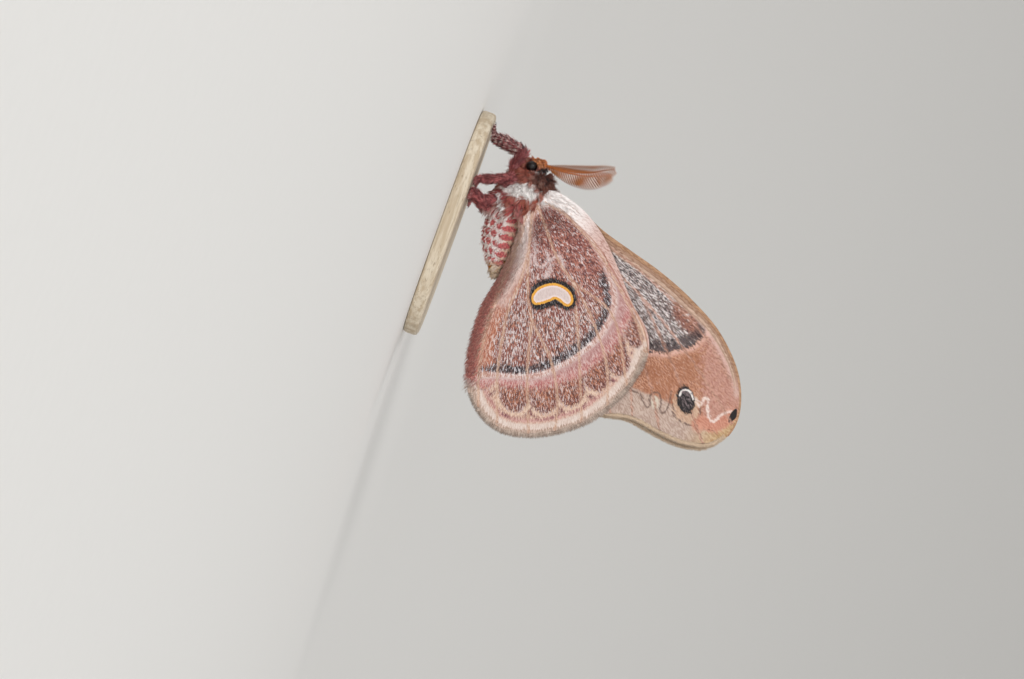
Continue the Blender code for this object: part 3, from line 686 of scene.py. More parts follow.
CROSS_LINES = [
    [(7.3, 2.8), (9.5, 3.9), (11.6, 4.6), (12.1, 6.2), (10.2, 7.3), (8.8, 8.7), (10.6, 10.4)],
    [(10.4, 3.2), (12.9, 3.9), (14.6, 3.2)], [(9.0, 6.2), (11.6, 7.9), (13.6, 7.6)],
]
FOLD_LINE = [(0.6, -1.0), (2.5, -0.3), (7.4, 1.0), (11.5, 1.8), (14.2, 1.9), (17.7, 1.5), (21.5, 1.4)]
# The eyespot: outline of its pale crescent, and of the black round it
CRESCENT = [
    (18.5, 6.3), (16.7, 6.6), (15.1, 8.0), (14.2, 9.7), (14.1, 11.3), (14.5, 12.9), (15.4, 14.0),
    (16.5, 14.5), (17.4, 14.2), (17.8, 13.3), (17.3, 12.0), (17.2, 10.9), (18.1, 9.9), (19.1, 8.6),
    (19.6, 7.6), (19.3, 6.8),
]
EYE_RING = [
    (18.4, 5.9), (16.6, 5.8), (15.2, 6.3), (14.0, 7.8), (13.3, 9.4), (13.2, 11.4), (13.6, 13.0),
    (14.7, 14.5), (16.5, 15.2), (17.7, 14.9), (18.5, 13.8), (18.4, 12.5), (18.3, 11.6), (19.1, 10.4),
    (20.2, 8.9), (20.4, 7.7), (19.6, 6.5),
]
# Lobes between the veins: middle of the end on the band, round tip, half width
LOBES = [
    ((36.2, 2.9), (39.1, 3.7), 2.4), ((34.4, 8.3), (41.0, 11.4), 3.2), ((32.4, 14.0), (39.4, 16.8), 3.1),
    ((28.6, 17.8), (36.2, 21.4), 3.0), ((23.9, 20.7), (31.5, 25.7), 2.75),
    ((18.6, 22.9), (27.1, 28.6), 2.5), ((12.8, 23.2), (20.6, 29.8), 1.75),
]
LOBE_END = 1.1                  # length of a lobe's round end, in half widths
LOBE_POWER = 1.8                # the power in its rounding: 2 is an oval, less is more pointed
ARC_OFF = 1.15                  # how far outside a lobe its maroon arc lies


def hindwing_marks(flat, edges):
    """Distances, in millimetres, to the hindwing's markings. A lobe is a U: straight sides, then
    half of a rounded oval, whose depth is one less the oval's radius, times the half width."""
    along, up = flat.T
    band, side, _ = nearest(flat, smooth_path(WHITE_BAND, 0.8))
    costal, costal_side, _ = nearest(flat, smooth_path(COSTAL_LINE, 0.8))
    lobe, arc = np.full(len(flat), -9.0), np.zeros(len(flat))
    for base, tip, half_width in LOBES:
        reach = np.subtract(tip, base)
        length = np.linalg.norm(reach)
        ahead = reach / length
        offset = flat - base
        beside = np.abs(offset @ (-ahead[1], ahead[0])) / half_width
        past = np.maximum((offset @ ahead - length) / (LOBE_END * half_width) + 1, 0)
        radius = (beside**LOBE_POWER + past**LOBE_POWER) ** (1 / LOBE_POWER)
        depth = (1 - radius) * half_width
        lobe = np.maximum(lobe, depth)
        ends = (0.4 + 0.6 * ease(beside, 0.35, 0.8)) * ease(past, 0.1, 0.6)
        arc = np.maximum(arc, ends * ease(np.abs(depth + ARC_OFF), 0.5, 0.2) * ease(beside, 1.15, 0.95))
    return {
        "field": depth_in(flat, CENTRAL_FIELD),
        "band": -band * side,
        "costal": costal * costal_side,
        "cross": to_lines(flat, CROSS_LINES),
        "fold": to_lines(flat, [FOLD_LINE]),
        "crescent": depth_in(flat, CRESCENT, 0.3),
        "ring": depth_in(flat, EYE_RING, 0.3),
        "lobe": lobe,
        "arc": arc,
        "outer": edges["outer"],
        "inner": edges["inner"],
        "tailward": ease(along, 8.0, 20.0),
        "tipward": ease(up, 10.0, 21.0),
        "root": 1 - ease(np.hypot(along, up), 7.0, 17.0),
    }


# Markings of the forewing, in the same way
GREY_EDGE = [
    (23.2, 26.0), (21.6, 30.0), (20.2, 33.1), (19.7, 35.3), (18.5, 37.1), (17.5, 38.6), (16.6, 40.0),
    (15.2, 40.8), (13.2, 41.4), (10.6, 41.6), (8.5, 41.4),
]
BROWN_PATCH = ((11.6, 37.4), 4.6, 2.2, 62.0)    # centre, half length, half width, tilt
PINK_STREAK = [(9.9, 37.5), (11.9, 40.5), (14.4, 44.0), (16.8, 46.7), (19.4, 49.4), (22.6, 51.6)]
BROWN_BARS = [
    [(18.8, 42.5), (16.9, 46.0)], [(21.1, 43.4), (19.1, 46.4)], [(22.1, 46.3), (20.6, 48.7)],
    [(22.6, 37.6), (19.5, 39.6)], [(24.6, 33.0), (23.6, 36.4)],
]
EYESPOT = ((27.1, 42.3), 2.85, 1.75, 29.0)
EYE_ARC = [(26.7, 40.9), (25.9, 40.9), (25.3, 41.4), (25.2, 42.2), (25.6, 43.0), (26.5, 43.7)]
HALO = [
    (26.0, 40.2), (29.0, 40.0), (29.8, 40.5), (30.7, 41.1), (31.4, 42.1), (31.5, 43.0), (31.6, 44.0),
    (31.5, 45.1), (30.6, 45.7), (29.2, 46.0), (27.9, 45.7), (26.7, 45.0), (25.4, 43.6), (25.2, 41.4),
]
WAVY_LINES = [
    [(29.1, 31.4), (29.1, 32.9), (29.6, 33.8), (30.7, 34.8), (31.1, 35.7), (30.5, 36.0), (29.5, 35.5),
     (28.5, 35.4), (27.9, 35.9), (27.7, 36.7), (28.4, 37.4), (29.6, 38.0), (30.8, 38.1), (31.2, 38.9),
     (30.0, 39.4), (28.6, 39.4), (27.3, 39.2), (26.4, 39.0)],
    [(28.8, 40.2), (29.8, 40.5), (30.7, 41.1), (31.4, 42.1), (31.5, 43.0), (31.6, 44.0), (31.5, 45.1),
     (30.6, 45.7), (29.2, 46.0), (27.9, 45.7), (27.0, 45.3)],
]
PALE_OVAL = ((29.7, 36.7), 1.6, 0.9, 22.0)
ZIGZAG = [
    (26.2, 44.0), (27.2, 45.1), (27.0, 45.6), (26.1, 45.5), (25.3, 45.8), (25.6, 46.5), (27.0, 46.9),
    (28.6, 47.7), (29.4, 48.7), (28.7, 49.4), (27.5, 50.0), (26.8, 50.7), (26.2, 51.6),
]
SALMON_BAND = [(31.0, 46.4), (30.0, 47.2), (30.2, 48.6), (29.8, 49.8), (28.4, 50.9), (26.9, 51.8)]
TIP_SPOT = [(25.2, 52.4), (26.9, 53.0), (27.8, 52.6), (28.5, 51.9), (27.5, 51.6), (26.1, 51.8)]
TIP_LINE = [(31.2, 48.4), (31.1, 49.6), (31.5, 50.4), (32.1, 51.2)]
PALE_RIM = [
    (28.6, 25.0), (28.4, 31.0), (28.6, 35.4), (28.8, 39.4), (30.8, 42.6), (31.2, 45.6), (31.4, 47.4),
    (31.0, 49.4), (29.8, 51.0), (27.8, 52.3), (24.5, 53.2),
]


def oval_depth(flat, centre, half_length, half_width, tilt):
    """How deep points lie inside an oval that is tilted from the along axis."""
    angle = math.radians(tilt)
    x, y = (flat - centre).T
    a = (x * math.cos(angle) + y * math.sin(angle)) / half_length
    b = (y * math.cos(angle) - x * math.sin(angle)) / half_width
    return (1 - np.hypot(a, b)) * half_width


def forewing_marks(flat, edges):
    """Distances, in millimetres, to the forewing's markings."""
    grey, side, _ = nearest(flat, smooth_path(GREY_EDGE, 0.8))
    rim, rim_side, _ = nearest(flat, smooth_path(PALE_RIM, 0.8))
    along, up = flat.T
    return {
        "grey": -grey * side,
        "front": edges["front"] * (1 + 0.7 * ease(up, 34, 50)),
        "streak": to_lines(flat, [PINK_STREAK]),
        "bars": to_lines(flat, BROWN_BARS),
        "spot": oval_depth(flat, *EYESPOT),
        "eye_arc": to_lines(flat, [EYE_ARC], 0.3),
        "halo": depth_in(flat, HALO),
        "wave": to_lines(flat, WAVY_LINES, 0.3),
        "pale_oval": oval_depth(flat, *PALE_OVAL),
        "zigzag": to_lines(flat, [ZIGZAG], 0.3),
        "salmon": to_lines(flat, [SALMON_BAND], 0.4),
        "tip_spot": depth_in(flat, TIP_SPOT, 0.3),
        "tip_line": to_lines(flat, [TIP_LINE]),
        "rim": rim * rim_side,
        "pink": ease(up - 0.35 * along, 33.0, 38.5),
        "brown": ease(oval_depth(flat, *BROWN_PATCH), -0.8, 0.8),
        "tip": ease(up + 0.2 * along, 50.0, 58.0),
    }


def strokes(scale, reach, shift=0.0):
    """Random short strokes along the lie of the scales: the mean of five samples of a noise,
    taken a reach apart in that direction. Values are about 0.5, two thirds within 0.05."""
    here = places(shift=shift)
    lie = new_node("Attribute", "Vector", {}, attribute_name="lie")
    total = noise(here, scale, 1.5, 0.6)
    for away in (-2 * reach, -reach, reach, 2 * reach):
        moved = new_node("VectorMath", 0, {0: lie, 1: [away] * 3, 2: here}, operation="MULTIPLY_ADD")
        total = total + noise(moved, scale, 1.5, 0.6)
    return sums("MULTIPLY_ADD", total, 0.245, -0.1125)


def tones(strand, dark, light, middle=0.5):
    """Strokes of two colours; the light one wins where the strand's value is above the middle."""
    return over(step(strand, middle - 0.03, middle + 0.03), dark, light)


def near(value, half_width, soft):
    """1 within half_width of a line on either side, 0 beyond its soft edge."""
    return step(sums("ABSOLUTE", value), half_width + soft, half_width - soft)


def wing_ground():
    """What every wing shares: fine hairs, the coarser scales under them, slow drifts, and the
    wobble that the hairs give to every edge."""
    fine = strokes(5.6, 0.12)
    under = strokes(4.8, 0.09, 40.0)
    return fine, under, noise(places(), 0.35, 2.0), noise(places(), 1.3, 1.0), (fine - 0.5) * 5.0


def finish_wing(shader, face, fine, under, bare, dark_vein, light_vein):
    """Veins, save where the wing is bare of them, and the relief of the scales."""
    vein = read("vein") + (under - 0.5) * 1.5
    line = step(vein, 0.36, 0.12) * (step(bare, 0.1, -0.1) * 0.8)
    paint(shader, over(line, face, tones(fine, dark_vein, light_vein)))
    relief(shader, fine * 4.0 + step(vein, 0.3, 0.05), 0.05)


WING_SHEEN = {"Specular IOR Level": 0.3, "Sheen Weight": 0.12}
hind_finish, shader = new_material("hindwing_scales", {"Roughness": 0.7, **WING_SHEEN})
fine, under, drift, patches, wobble = wing_ground()
band, field, lobe, inner = [read(name) + wobble for name in ("band", "field", "lobe", "inner")]
outer = read("outer") + wobble * 0.5
tailward = read("tailward")
# ground between the lobes and the margin: beige, with the lobes' pale outline, maroon arcs, a
# faint pink band, and a white one before the darker edge
outline = near(lobe + 0.3, 0.2, 0.25) * (step(read("band"), 4.2, 5.6) * 0.75)
face = layered(
    tones(under, (184, 142, 126), (220, 192, 174)),
    (near(outer - 3.5, 0.35, 0.35) * 0.75, tones(fine, (168, 110, 112), (206, 160, 154))),
    (outline, (222, 196, 172)),
    (read("arc") * step(fine, 0.54, 0.48) * step(outer, 2.9, 3.3), (112, 66, 72)),
    (near(outer - 2.25, 0.6, 0.22), tones(fine, (208, 186, 174), (222, 205, 196))),
    (step(outer, 1.75, 1.4), tones(fine, (166, 142, 128), (196, 172, 158))))
# lobes: pinkish by the band, then orange-brown, maroon at the tip, dusted with white hairs
maroon = step(lobe, 1.7, 0.7) * step(read("band"), 2.6, 4.6)
from_band = band + patches * 2.0 - read("tipward") * 1.4
lobe_tone = layered(
    tones(under, (106, 66, 58), (172, 112, 86)),
    (maroon * 0.7, tones(under, (84, 48, 50), (134, 84, 74))),
    (step(from_band, 3.9, 1.9), tones(under, (178, 106, 104), (206, 160, 154))),
    (step(fine, 0.523, 0.563) * 0.75, (216, 194, 190)))
haze = step(from_band, 2.3, 0.9) * step(band, -0.2, 0.2)
face = layered(
    face,
    (step(lobe, -0.06, 0.14), lobe_tone),
    (haze * 0.7, tones(fine, (158, 112, 110), (190, 154, 150), 0.49)))
# central field: red-brown scales under white hairs, more maroon at the root, black by the band,
# salmon by the inner margin, and its pale cross lines
root_red = 1.0 - tailward
hairy = fine + (patches - 0.5) * 0.14 - root_red * 0.024
black_zone = step(read("band") + patches * 1.8, -2.2, -0.8)
black_tone = over(step(fine, 0.53, 0.565), tones(under, (34, 32, 38), (86, 70, 70)), (196, 192, 198))
salmon = step(inner, 5.0, 3.8) * (tailward * step(band, -1.2, -2.6))
salmon_tone = over(step(fine, 0.51, 0.55) * 0.6, tones(under, (160, 96, 74), (192, 132, 108)),
                   (226, 196, 182))
ground = layered(
    tones(under, (88, 56, 54), (172, 118, 100)),
    (root_red * 0.55, tones(under, (108, 60, 58), (176, 108, 96))),
    (step(drift, 0.42, 0.62) * 0.4, (132, 72, 68)),
    (step(hairy, 0.514, 0.546) * 0.9, (220, 207, 206)),
    (black_zone * 0.94, black_tone),
    (salmon * 0.85, salmon_tone))
cross = step(read("cross") + wobble * 1.2, 0.34, 0.05)
face = layered(face, (step(field, -0.1, 0.15), ground), (cross * 0.75, (226, 208, 206)))
# white band, pale front margin, the fold's whitish strip and the rose inner margin
pale_front = layered(
    tones(fine, (180, 138, 128), (214, 182, 173), 0.48),
    # near the root the front margin turns white: white scales there, made lighter still as painted light
    # against the shade on the wing's sloping root
    (read("root"), tones(fine, (230, 214, 208), (248, 242, 240), 0.45)),
    (step(inner, 4.4, 3.0), tones(fine, (168, 122, 106), (204, 166, 150), 0.49)))
costal = read("costal")
fold = step(read("fold") + wobble * 1.5, 1.15, 0.6)
rose = step(inner, 2.2, 1.5) * (tailward * step(band, 1.2, 0.0))
rose_tone = over(step(read("reach"), 0.4, 1.0) * 0.6, tones(under, (168, 84, 78), (204, 130, 118)),
                 (150, 124, 114))
face = layered(
    face,
    (near(band, 0.5, 0.2), tones(fine, (198, 174, 170), (224, 210, 207), 0.49)),
    (step(field, 0.1, -0.2) * step(band, 0.4, 0.0), pale_front),
    (step(costal + wobble * 0.4, -0.1, 0.2), pale_front),
    (near(costal, 0.1, 0.12) * 0.8, (168, 112, 86)),
    (fold * (1.0 - tailward * 0.6), tones(fine, (210, 184, 178), (238, 226, 222), 0.48)),
    (rose, rose_tone))
# eyespot: black dusted with grey, a yellow line, and the pale crescent, brightest at its rim
ring = read("ring") + wobble * 0.7
crescent = read("crescent") + wobble * 0.15
moon = over(step(crescent, 1.0, 0.6), tones(fine, (206, 186, 182), (216, 199, 195), 0.49),
            (230, 214, 212))
face = layered(
    face,
    (step(ring, -0.08, 0.08), over(step(fine, 0.535, 0.565) * 0.6, (24, 20, 22), (134, 128, 130))),
    (step(crescent, -0.06, 0.06), tones(under, (214, 146, 66), (228, 168, 70), 0.46)),
    (step(crescent, 0.46, 0.56), moon))
finish_wing(shader, face, fine, under, ring, (180, 136, 114), (218, 186, 164))

fore_finish, shader = new_material("forewing_scales", {"Roughness": 0.62, **WING_SHEEN})
fine, under, drift, patches, wobble = wing_ground()
# beyond the grey zone: orange-brown with darker bars, pink towards the tip
pink = read("pink") + (patches - 0.5) * 1.6
face = layered(
    tones(under, (150, 96, 72), (196, 144, 116)),
    (step(drift, 0.46, 0.62) * 0.5, (156, 98, 68)),
    (step(read("bars") + wobble, 1.0, 0.2) * 0.55, (150, 92, 64)),
    (step(pink, 0.35, 1.0) * 0.85, tones(under, (172, 121, 107), (198, 152, 139))),
    (step(fine, 0.54, 0.58) * 0.25, (226, 198, 184)))
# beige margin, warmer at the tip, with fine wavy dark lines, a pale oval, a salmon band and a
# white zigzag line
beige = over(read("tip"), tones(fine, (172, 146, 133), (198, 176, 163)),
             tones(fine, (172, 136, 96), (202, 172, 134)))
salmon = step(read("salmon") + wobble * 0.8, 1.7, 1.0)
face = layered(
    face,
    (step(read("rim") + wobble * 0.8, 0.25, -0.25), beige),
    (step(read("halo") + wobble, -0.1, 0.5), tones(fine, (184, 148, 124), (204, 172, 148))),
    (step(read("pale_oval"), 0.0, 0.3), (206, 192, 176)),
    (step(read("wave") + wobble * 0.25, 0.26, 0.08) * 0.75, (100, 76, 68)),
    (salmon * 0.9, tones(under, (186, 120, 98), (208, 150, 128))),
    (step(read("zigzag") + wobble * 0.5, 0.42, 0.08) * 0.85, (232, 214, 206)),
    (step(read("tip_line"), 0.16, 0.04), (92, 60, 46)))
# eyespot: black with a pale arc at its root end and a core dusted with grey
spot = read("spot") + wobble * 0.5
face = layered(
    face,
    (step(spot, -0.12, 0.08), (30, 26, 28)),
    (step(spot, 0.3, 0.7) * step(fine, 0.5, 0.54) * 0.65, (146, 128, 130)),
    (step(read("eye_arc") + wobble * 0.2, 0.26, 0.12), (226, 218, 214)))
# grey zone of the middle, red-brown at its front end, black along its edge, with white hairs;
# then the light line along it and the pink streak
edge_dark = step(read("grey") + patches * 1.4, -2.2, -0.9)
hairy = fine + (patches - 0.5) * 0.16 + step(read("vein"), 1.2, 0.3) * 0.022
hairy = hairy - (read("brown") + edge_dark) * 0.07
grey_tone = layered(
    tones(under, (62, 54, 57), (134, 114, 110), 0.49),
    (read("brown") * 0.9, tones(under, (108, 66, 56), (166, 112, 94), 0.49)),
    (edge_dark * 0.7, tones(under, (44, 38, 42), (90, 76, 76))),
    (step(hairy, 0.51, 0.545) * 0.92, (224, 216, 214)))
grey = read("grey") + wobble
face = layered(
    face,
    (step(grey, 0.12, -0.12), grey_tone),
    (near(grey - 0.55, 0.4, 0.3) * 0.85, tones(fine, (200, 150, 132), (220, 180, 166), 0.48)),
    (step(read("streak") + wobble, 0.75, 0.1) * 0.6, (220, 192, 184)))
# front margin: fine brown lines on tan, then the apical black spot over it
COSTA_LINES = (0.82, 1.45, 2.15)
front = read("front") + wobble * 0.25
costa = layered(
    tones(fine, (176, 146, 128), (202, 172, 152)),
    (step(front, 1.55, 1.35), tones(fine, (150, 114, 92), (176, 142, 120), 0.49)),
    (step(front, 0.85, 0.7), tones(fine, (148, 108, 80), (186, 144, 110), 0.49)),
    *[(near(front - line, 0.05, 0.08) * 0.8, (122, 84, 64)) for line in COSTA_LINES])
face = layered(
    face,
    (step(front, 2.7, 2.1) * step(read("tip"), 0.95, 0.3), costa),
    (step(front, 0.85, 0.6), tones(fine, (150, 112, 84), (188, 148, 116), 0.49)),
    (step(read("tip_spot"), -0.05, 0.1), (28, 22, 24)))
finish_wing(shader, face, fine, under, spot, (148, 106, 88), (200, 156, 138))


def plan_wing(outline, corners, root, veins, marks, grid, level, finish):
    """What a left and a right wing share: its outer margin, its grid of places laid flat, their
    distances from its edges and to its markings, its level and its finish."""
    lines = dict(zip(("front", "outer", "inner"), margin_lines(outline, *corners)))
    sheet = wing_sheet(lines["front"], pulled_in(lines["outer"], BARE_FRINGE), lines["inner"],
                       smooth_path(root, 0.3), *grid)
    flat = sheet.reshape(-1, 2)
    edges = {key: nearest(flat, line)[0] for key, line in lines.items()}
    values = marks(flat, edges)
    values["vein"] = to_lines(flat, veins, 1.2)
    values["lie"] = stood(fan(flat), 0.0)
    return {"outer": lines["outer"], "grid": grid, "flat": flat, "edges": edges, "values": values,
            "level": level, "finish": finish}


def lay_flat(piece, spots):
    """Sets the piece's flat map from one spot for each vertex."""
    corner_of = np.empty(len(piece.data.loops), np.int32)
    piece.data.loops.foreach_get("vertex_index", corner_of)
    layer = piece.data.uv_layers.new(name="OFBake")
    layer.uv.foreach_set("vector", spots[corner_of].astype(np.float32).ravel())


def wing_map(spot, plan, inner_face):
    """Spots on the flat map, whose left half holds a wing's outer face and its right the inner."""
    low, size = plan["flat"].min(axis=0), np.ptp(plan["flat"], axis=0).max()
    return 0.02 + 0.46 * (spot - low) / size + np.outer(inner_face, (0.5, 0.0))


def add_wing(name, side, plan, turn):
    """One wing: a sheet of two faces and a rim, thin at its margins, pleated up to its veins."""
    edges, values = plan["edges"], plan["values"]
    moved = turned(plan["flat"], turn)
    middle = plan["level"](*moved.T) + PLEAT * np.exp(-(values["vein"] / PLEAT_WIDTH) ** 2)
    near_edge = np.minimum(edges["outer"] - BARE_FRINGE, edges["inner"])
    half = 0.5 * (EDGE_MEMBRANE + (MEMBRANE - EDGE_MEMBRANE) * ease(near_edge, 0.0, 0.6))
    half = half + FRONT_VEIN * np.exp(-(edges["front"] / 0.6) ** 2)
    verts = np.vstack([stood(moved, side * (middle + out * half)) for out in (1, -1)])
    count = len(moved)
    wall = grid_faces(*plan["grid"])
    number = np.arange(count).reshape(plan["grid"])
    ring = np.concatenate([number[0], number[1:, -1], number[-1, -2::-1], number[-2:0:-1, 0]])
    rim = np.column_stack([ring, ring + count, np.roll(ring, -1) + count, np.roll(ring, -1)])
    sheets = [wall, wall[:, ::-1] + count, rim]
    if side > 0:
        sheets = [faces[:, ::-1] for faces in sheets]
    piece = add_mesh(name, place_on_moth(verts), *sheets)
    mark(piece, {key: np.concatenate([value, value]) for key, value in values.items()})
    lay_flat(piece, np.vstack([wing_map(plan["flat"], plan, np.full(count, face)) for face in (0, 1)]))
    piece.data.materials.append(plan["finish"])
    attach(piece, "root")
    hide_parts(name)
    return piece


fore_plan = plan_wing(FOREWING, (FOREWING_TIP, FOREWING_REAR), FOREWING_ROOT, FOREWING_VEINS,
                      forewing_marks, (110, 250), forewing_level, fore_finish)
hind_plan = plan_wing(HINDWING, (HINDWING_TIP, HINDWING_REAR), HINDWING_ROOT, HINDWING_VEINS,
                      hindwing_marks, (160, 200), hindwing_level, hind_finish)
SIDES = {"left": -1.0, "right": 1.0}
FOREWING_TURN = {"left": 0.0, "right": RIGHT_FOREWING_TURN}
for side_name, side in SIDES.items():
    wing = add_wing("forewing_" + side_name, side, fore_plan, FOREWING_TURN[side_name])
    wing = add_wing("hindwing_" + side_name, side, hind_plan, 0.0)

# Fur of head, thorax and abdomen
# Hair-like scales in overlapping tufts, rooted in the skin and laid tailward. They are long and
# woolly on the thorax, short on the face, and on the abdomen a white lattice round rose cells.
COATS = {
    # slot, seed, stretch of the body, tufts, their length, half width, lift, and tufts in a lock
    "head_fur": ("body_fur", 20, (-8.1, -4.7), 7000, 1.2, 0.06, 0.75, 26),
    "thorax_fur": ("body_fur", 21, (-5.0, 4.9), 12300, 1.9, 0.075, 0.65, 34),
    "abdomen_fur": ("abdomen_fur", 22, (4.5, 16.75), 12300, 0.7, 0.075, 0.5, 14),
}
BLACK_LENGTH = 0.65             # length of the black tufts, as a share of the others'
WHITE_LENGTH = 0.65
AMBER_LENGTH = 0.4
CELL_LENGTH = 0.45              # the abdomen's rose cells lie deeper than its white lattice
LATTICE_LENGTH = 1.1
EYE_ROOM = 1.08                 # the fur keeps off the eyes' balls, made larger by this
HINGE_TUFTS = 1600
HINGE_SEED = 26
GOLDEN_ANGLE = math.pi * (3 - math.sqrt(5))
ROOT_SINK = 0.1
PATCH = 0.003                   # width of a tuft's patch on the flat map


def strands(roots, outward, lie, length, half_width, lift, drift, sides=3, stations=(0, 0.35, 0.7, 1)):
    """Many tapered blades at once. A point at share s of a blade lies s along its lie and
    lift * (s - s*s/2) outward, times its length, plus its drift times s squared; its cross
    section is an oval, wider than deep, that swells and then shrinks to a point."""
    share = np.array(stations, float)[None, :, None]
    length = length[:, None, None]
    rise = np.asarray(lift, float).reshape(-1, 1, 1) * (share - 0.5 * share**2)
    paths = roots[:, None] + length * (share * lie[:, None] + rise * outward[:, None])
    paths = paths - ROOT_SINK * (1 - share) * outward[:, None] + share**2 * drift[:, None]
    ahead = unit(np.gradient(paths, axis=1))
    sideways = unit(np.cross(ahead, outward[:, None]))
    upward = np.cross(sideways, ahead)
    swell = 0.65 + 1.2 * share * (1 - share)
    across = half_width[:, None, None] * swell * sideways
    deep = 0.45 * half_width[:, None, None] * swell * upward
    turn = turns(sides)[:, None]
    rings = (paths[:, :-1, None] + across[:, :-1, None] * np.cos(turn)
             + deep[:, :-1, None] * np.sin(turn))
    count, ring_count = rings.shape[:2]
    verts = np.concatenate([rings.reshape(count, -1, 3), paths[:, -1:]], axis=1)
    each = verts.shape[1]
    first = each * np.arange(count)[:, None, None]
    low = np.arange(ring_count - 1)[:, None] * sides + np.arange(sides)
    low_next = np.arange(ring_count - 1)[:, None] * sides + (np.arange(sides) + 1) % sides
    walls = np.stack([low, low + sides, low_next + sides, low_next], axis=-1).reshape(-1, 4)
    last = (ring_count - 1) * sides
    tips = np.stack([last + np.arange(sides), np.full(sides, each - 1),
                     last + (np.arange(sides) + 1) % sides], axis=-1)
    caps = np.arange(sides)[None]
    faces = [(part[None] + first).reshape(-1, part.shape[1]) for part in (walls, tips, caps)]
    return verts, faces


def on_map(across, up):
    """Spots on the flat map from shares across and up it, with a small edge left free."""
    return 0.02 + 0.96 * np.column_stack([across, up])


def add_tufts(name, blades, marks, spots, finish):
    """A coat piece: every vertex of a tuft keeps its root's marks and lies in its own small
    patch of the flat map, at its root's spot."""
    verts, faces = blades
    count, each = verts.shape[:2]
    piece = add_mesh(name, place_on_moth(verts.reshape(-1, 3)), *faces)
    mark(piece, {key: np.repeat(value, each, axis=0) for key, value in marks.items()})
    mark(piece, {"reach": np.tile(np.arange(each) / (each - 1), count)})
    inside = np.linspace(-0.5, 0.5, each)
    offset = PATCH * np.column_stack([inside, np.cos(7 * inside) - 0.5])
    lay_flat(piece, (spots[:, None] + offset[None]).reshape(-1, 2))
    piece.data.materials.append(finish)
    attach(piece, "root")
    return piece


def even_roots(first_run, last_run, count):
    """Places spread evenly over a stretch of the body, on a golden-angle spiral."""
    fine_run = np.linspace(first_run, last_run, 400)
    girth = np.interp(fine_run, body_run, body_profile[:, 2] + body_profile[:, 3]) + 0.15
    area = np.cumsum(girth)
    share = (np.arange(count) + 0.5) / count
    return np.interp(share, area / area[-1], fine_run), np.mod(np.arange(count) * GOLDEN_ANGLE, 2 * math.pi)


def gather(roots, size, rng):
    """The way from each tuft to the middle of its own lock, and the lock's number."""
    seeds = roots[rng.choice(len(roots), max(2, len(roots) // size), replace=False)]
    lock = np.concatenate([np.linalg.norm(part[:, None] - seeds, axis=2).argmin(axis=1)
                           for part in np.array_split(roots, max(1, len(roots) // 1500))])
    return seeds[lock] - roots, lock


def lock_values(lock, low, high, own, rng):
    """Random values shared by each lock, with each tuft's own share mixed in."""
    shared = rng.uniform(low, high, lock.max() + 1)[lock]
    return (1 - own) * shared + own * rng.uniform(low, high, len(lock))


def body_fur(name, seed, stretch, count, full_length, half_width, full_lift, lock_size):
    """Tufts over one stretch of the body. They lie tailward and a little down, on the face away
    from its middle; each lock leans its own way, and no tuft reaches into an eye."""
    rng = np.random.default_rng(seed)
    first_run, last_run = np.interp(stretch, body_profile[:, 0], body_run)
    run, angle = even_roots(first_run, last_run, count)
    roots, outward = body_at(run, angle), body_outward(run, angle)
    marks = body_marks(roots + (0.45 * full_length, 0.0, 0.0), angle)
    abdomen = marks["abdomen"]
    white = marks["white"] * (1 - abdomen)
    along, across, up = roots.T
    face = ease(-along, 6.8, 7.8)
    lie = np.column_stack([1 - 0.4 * face, 0.25 * np.sign(across) + 0.3 * across * face,
                           0.7 * np.sign(up + 2.2) * face - 0.3 - 0.25 * ease(-up, 0, 6)])
    lie = unit(lie - outward * (outward * lie).sum(axis=1, keepdims=True))
    to_lock, lock = gather(roots, lock_size, rng)
    sway = rng.normal(0, 0.28, (lock.max() + 1, 3))[lock]
    lie = unit(lie + sway + 0.08 * (1 + white[:, None]) * rng.normal(0, 1, lie.shape))
    length = full_length * lock_values(lock, 0.7, 1.2, 0.5, rng)
    length *= 1 - abdomen + abdomen * np.where(marks["cell"] > 0.05, CELL_LENGTH, LATTICE_LENGTH)
    length *= 1 - (1 - BLACK_LENGTH) * marks["black"] - 0.45 * face
    length *= (1 - (1 - WHITE_LENGTH) * white) * (1 - (1 - AMBER_LENGTH) * marks["amber"])
    length *= 1 + 0.8 * marks["tail_tip"] * rng.uniform(0, 1, count)
    keep = np.ones(count, bool)
    for eye in ("eye_left", "eye_right"):
        low, high = np.array(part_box(eye)) / MM - (HINGE_ALONG, 0.0, HINGE_UP)
        for share in (0.0, 0.5, 1.0):
            reached = roots + share * length[:, None] * (lie + 0.2 * outward)
            far = np.linalg.norm((2 * reached - low - high) / (high - low), axis=1)
            keep &= far > EYE_ROOM
    width = half_width * rng.uniform(0.8, 1.25, count) * (1 + 0.7 * white)
    lift = full_lift * lock_values(lock, 0.3, 1.7, 0.3, rng)
    length *= np.where(rng.uniform(0, 1, count) < 0.08, 1.4, 1.0)
    lift *= 1 - 0.4 * white + 0.2 * marks["dark"] + 0.3 * marks["orange"]
    shade = lock_values(lock, 0, 1, 0.3, rng)
    marks["shade"] = shade + (0.5 - 0.75 * shade) * white
    tufts = (roots, outward, lie, length, width, lift, 0.75 * to_lock)
    marks = {key: value[keep] for key, value in marks.items()}
    spots = on_map(angle / (2 * math.pi), run)[keep]
    return add_tufts(name, strands(*[value[keep] for value in tufts]), marks, spots, coat_finish)


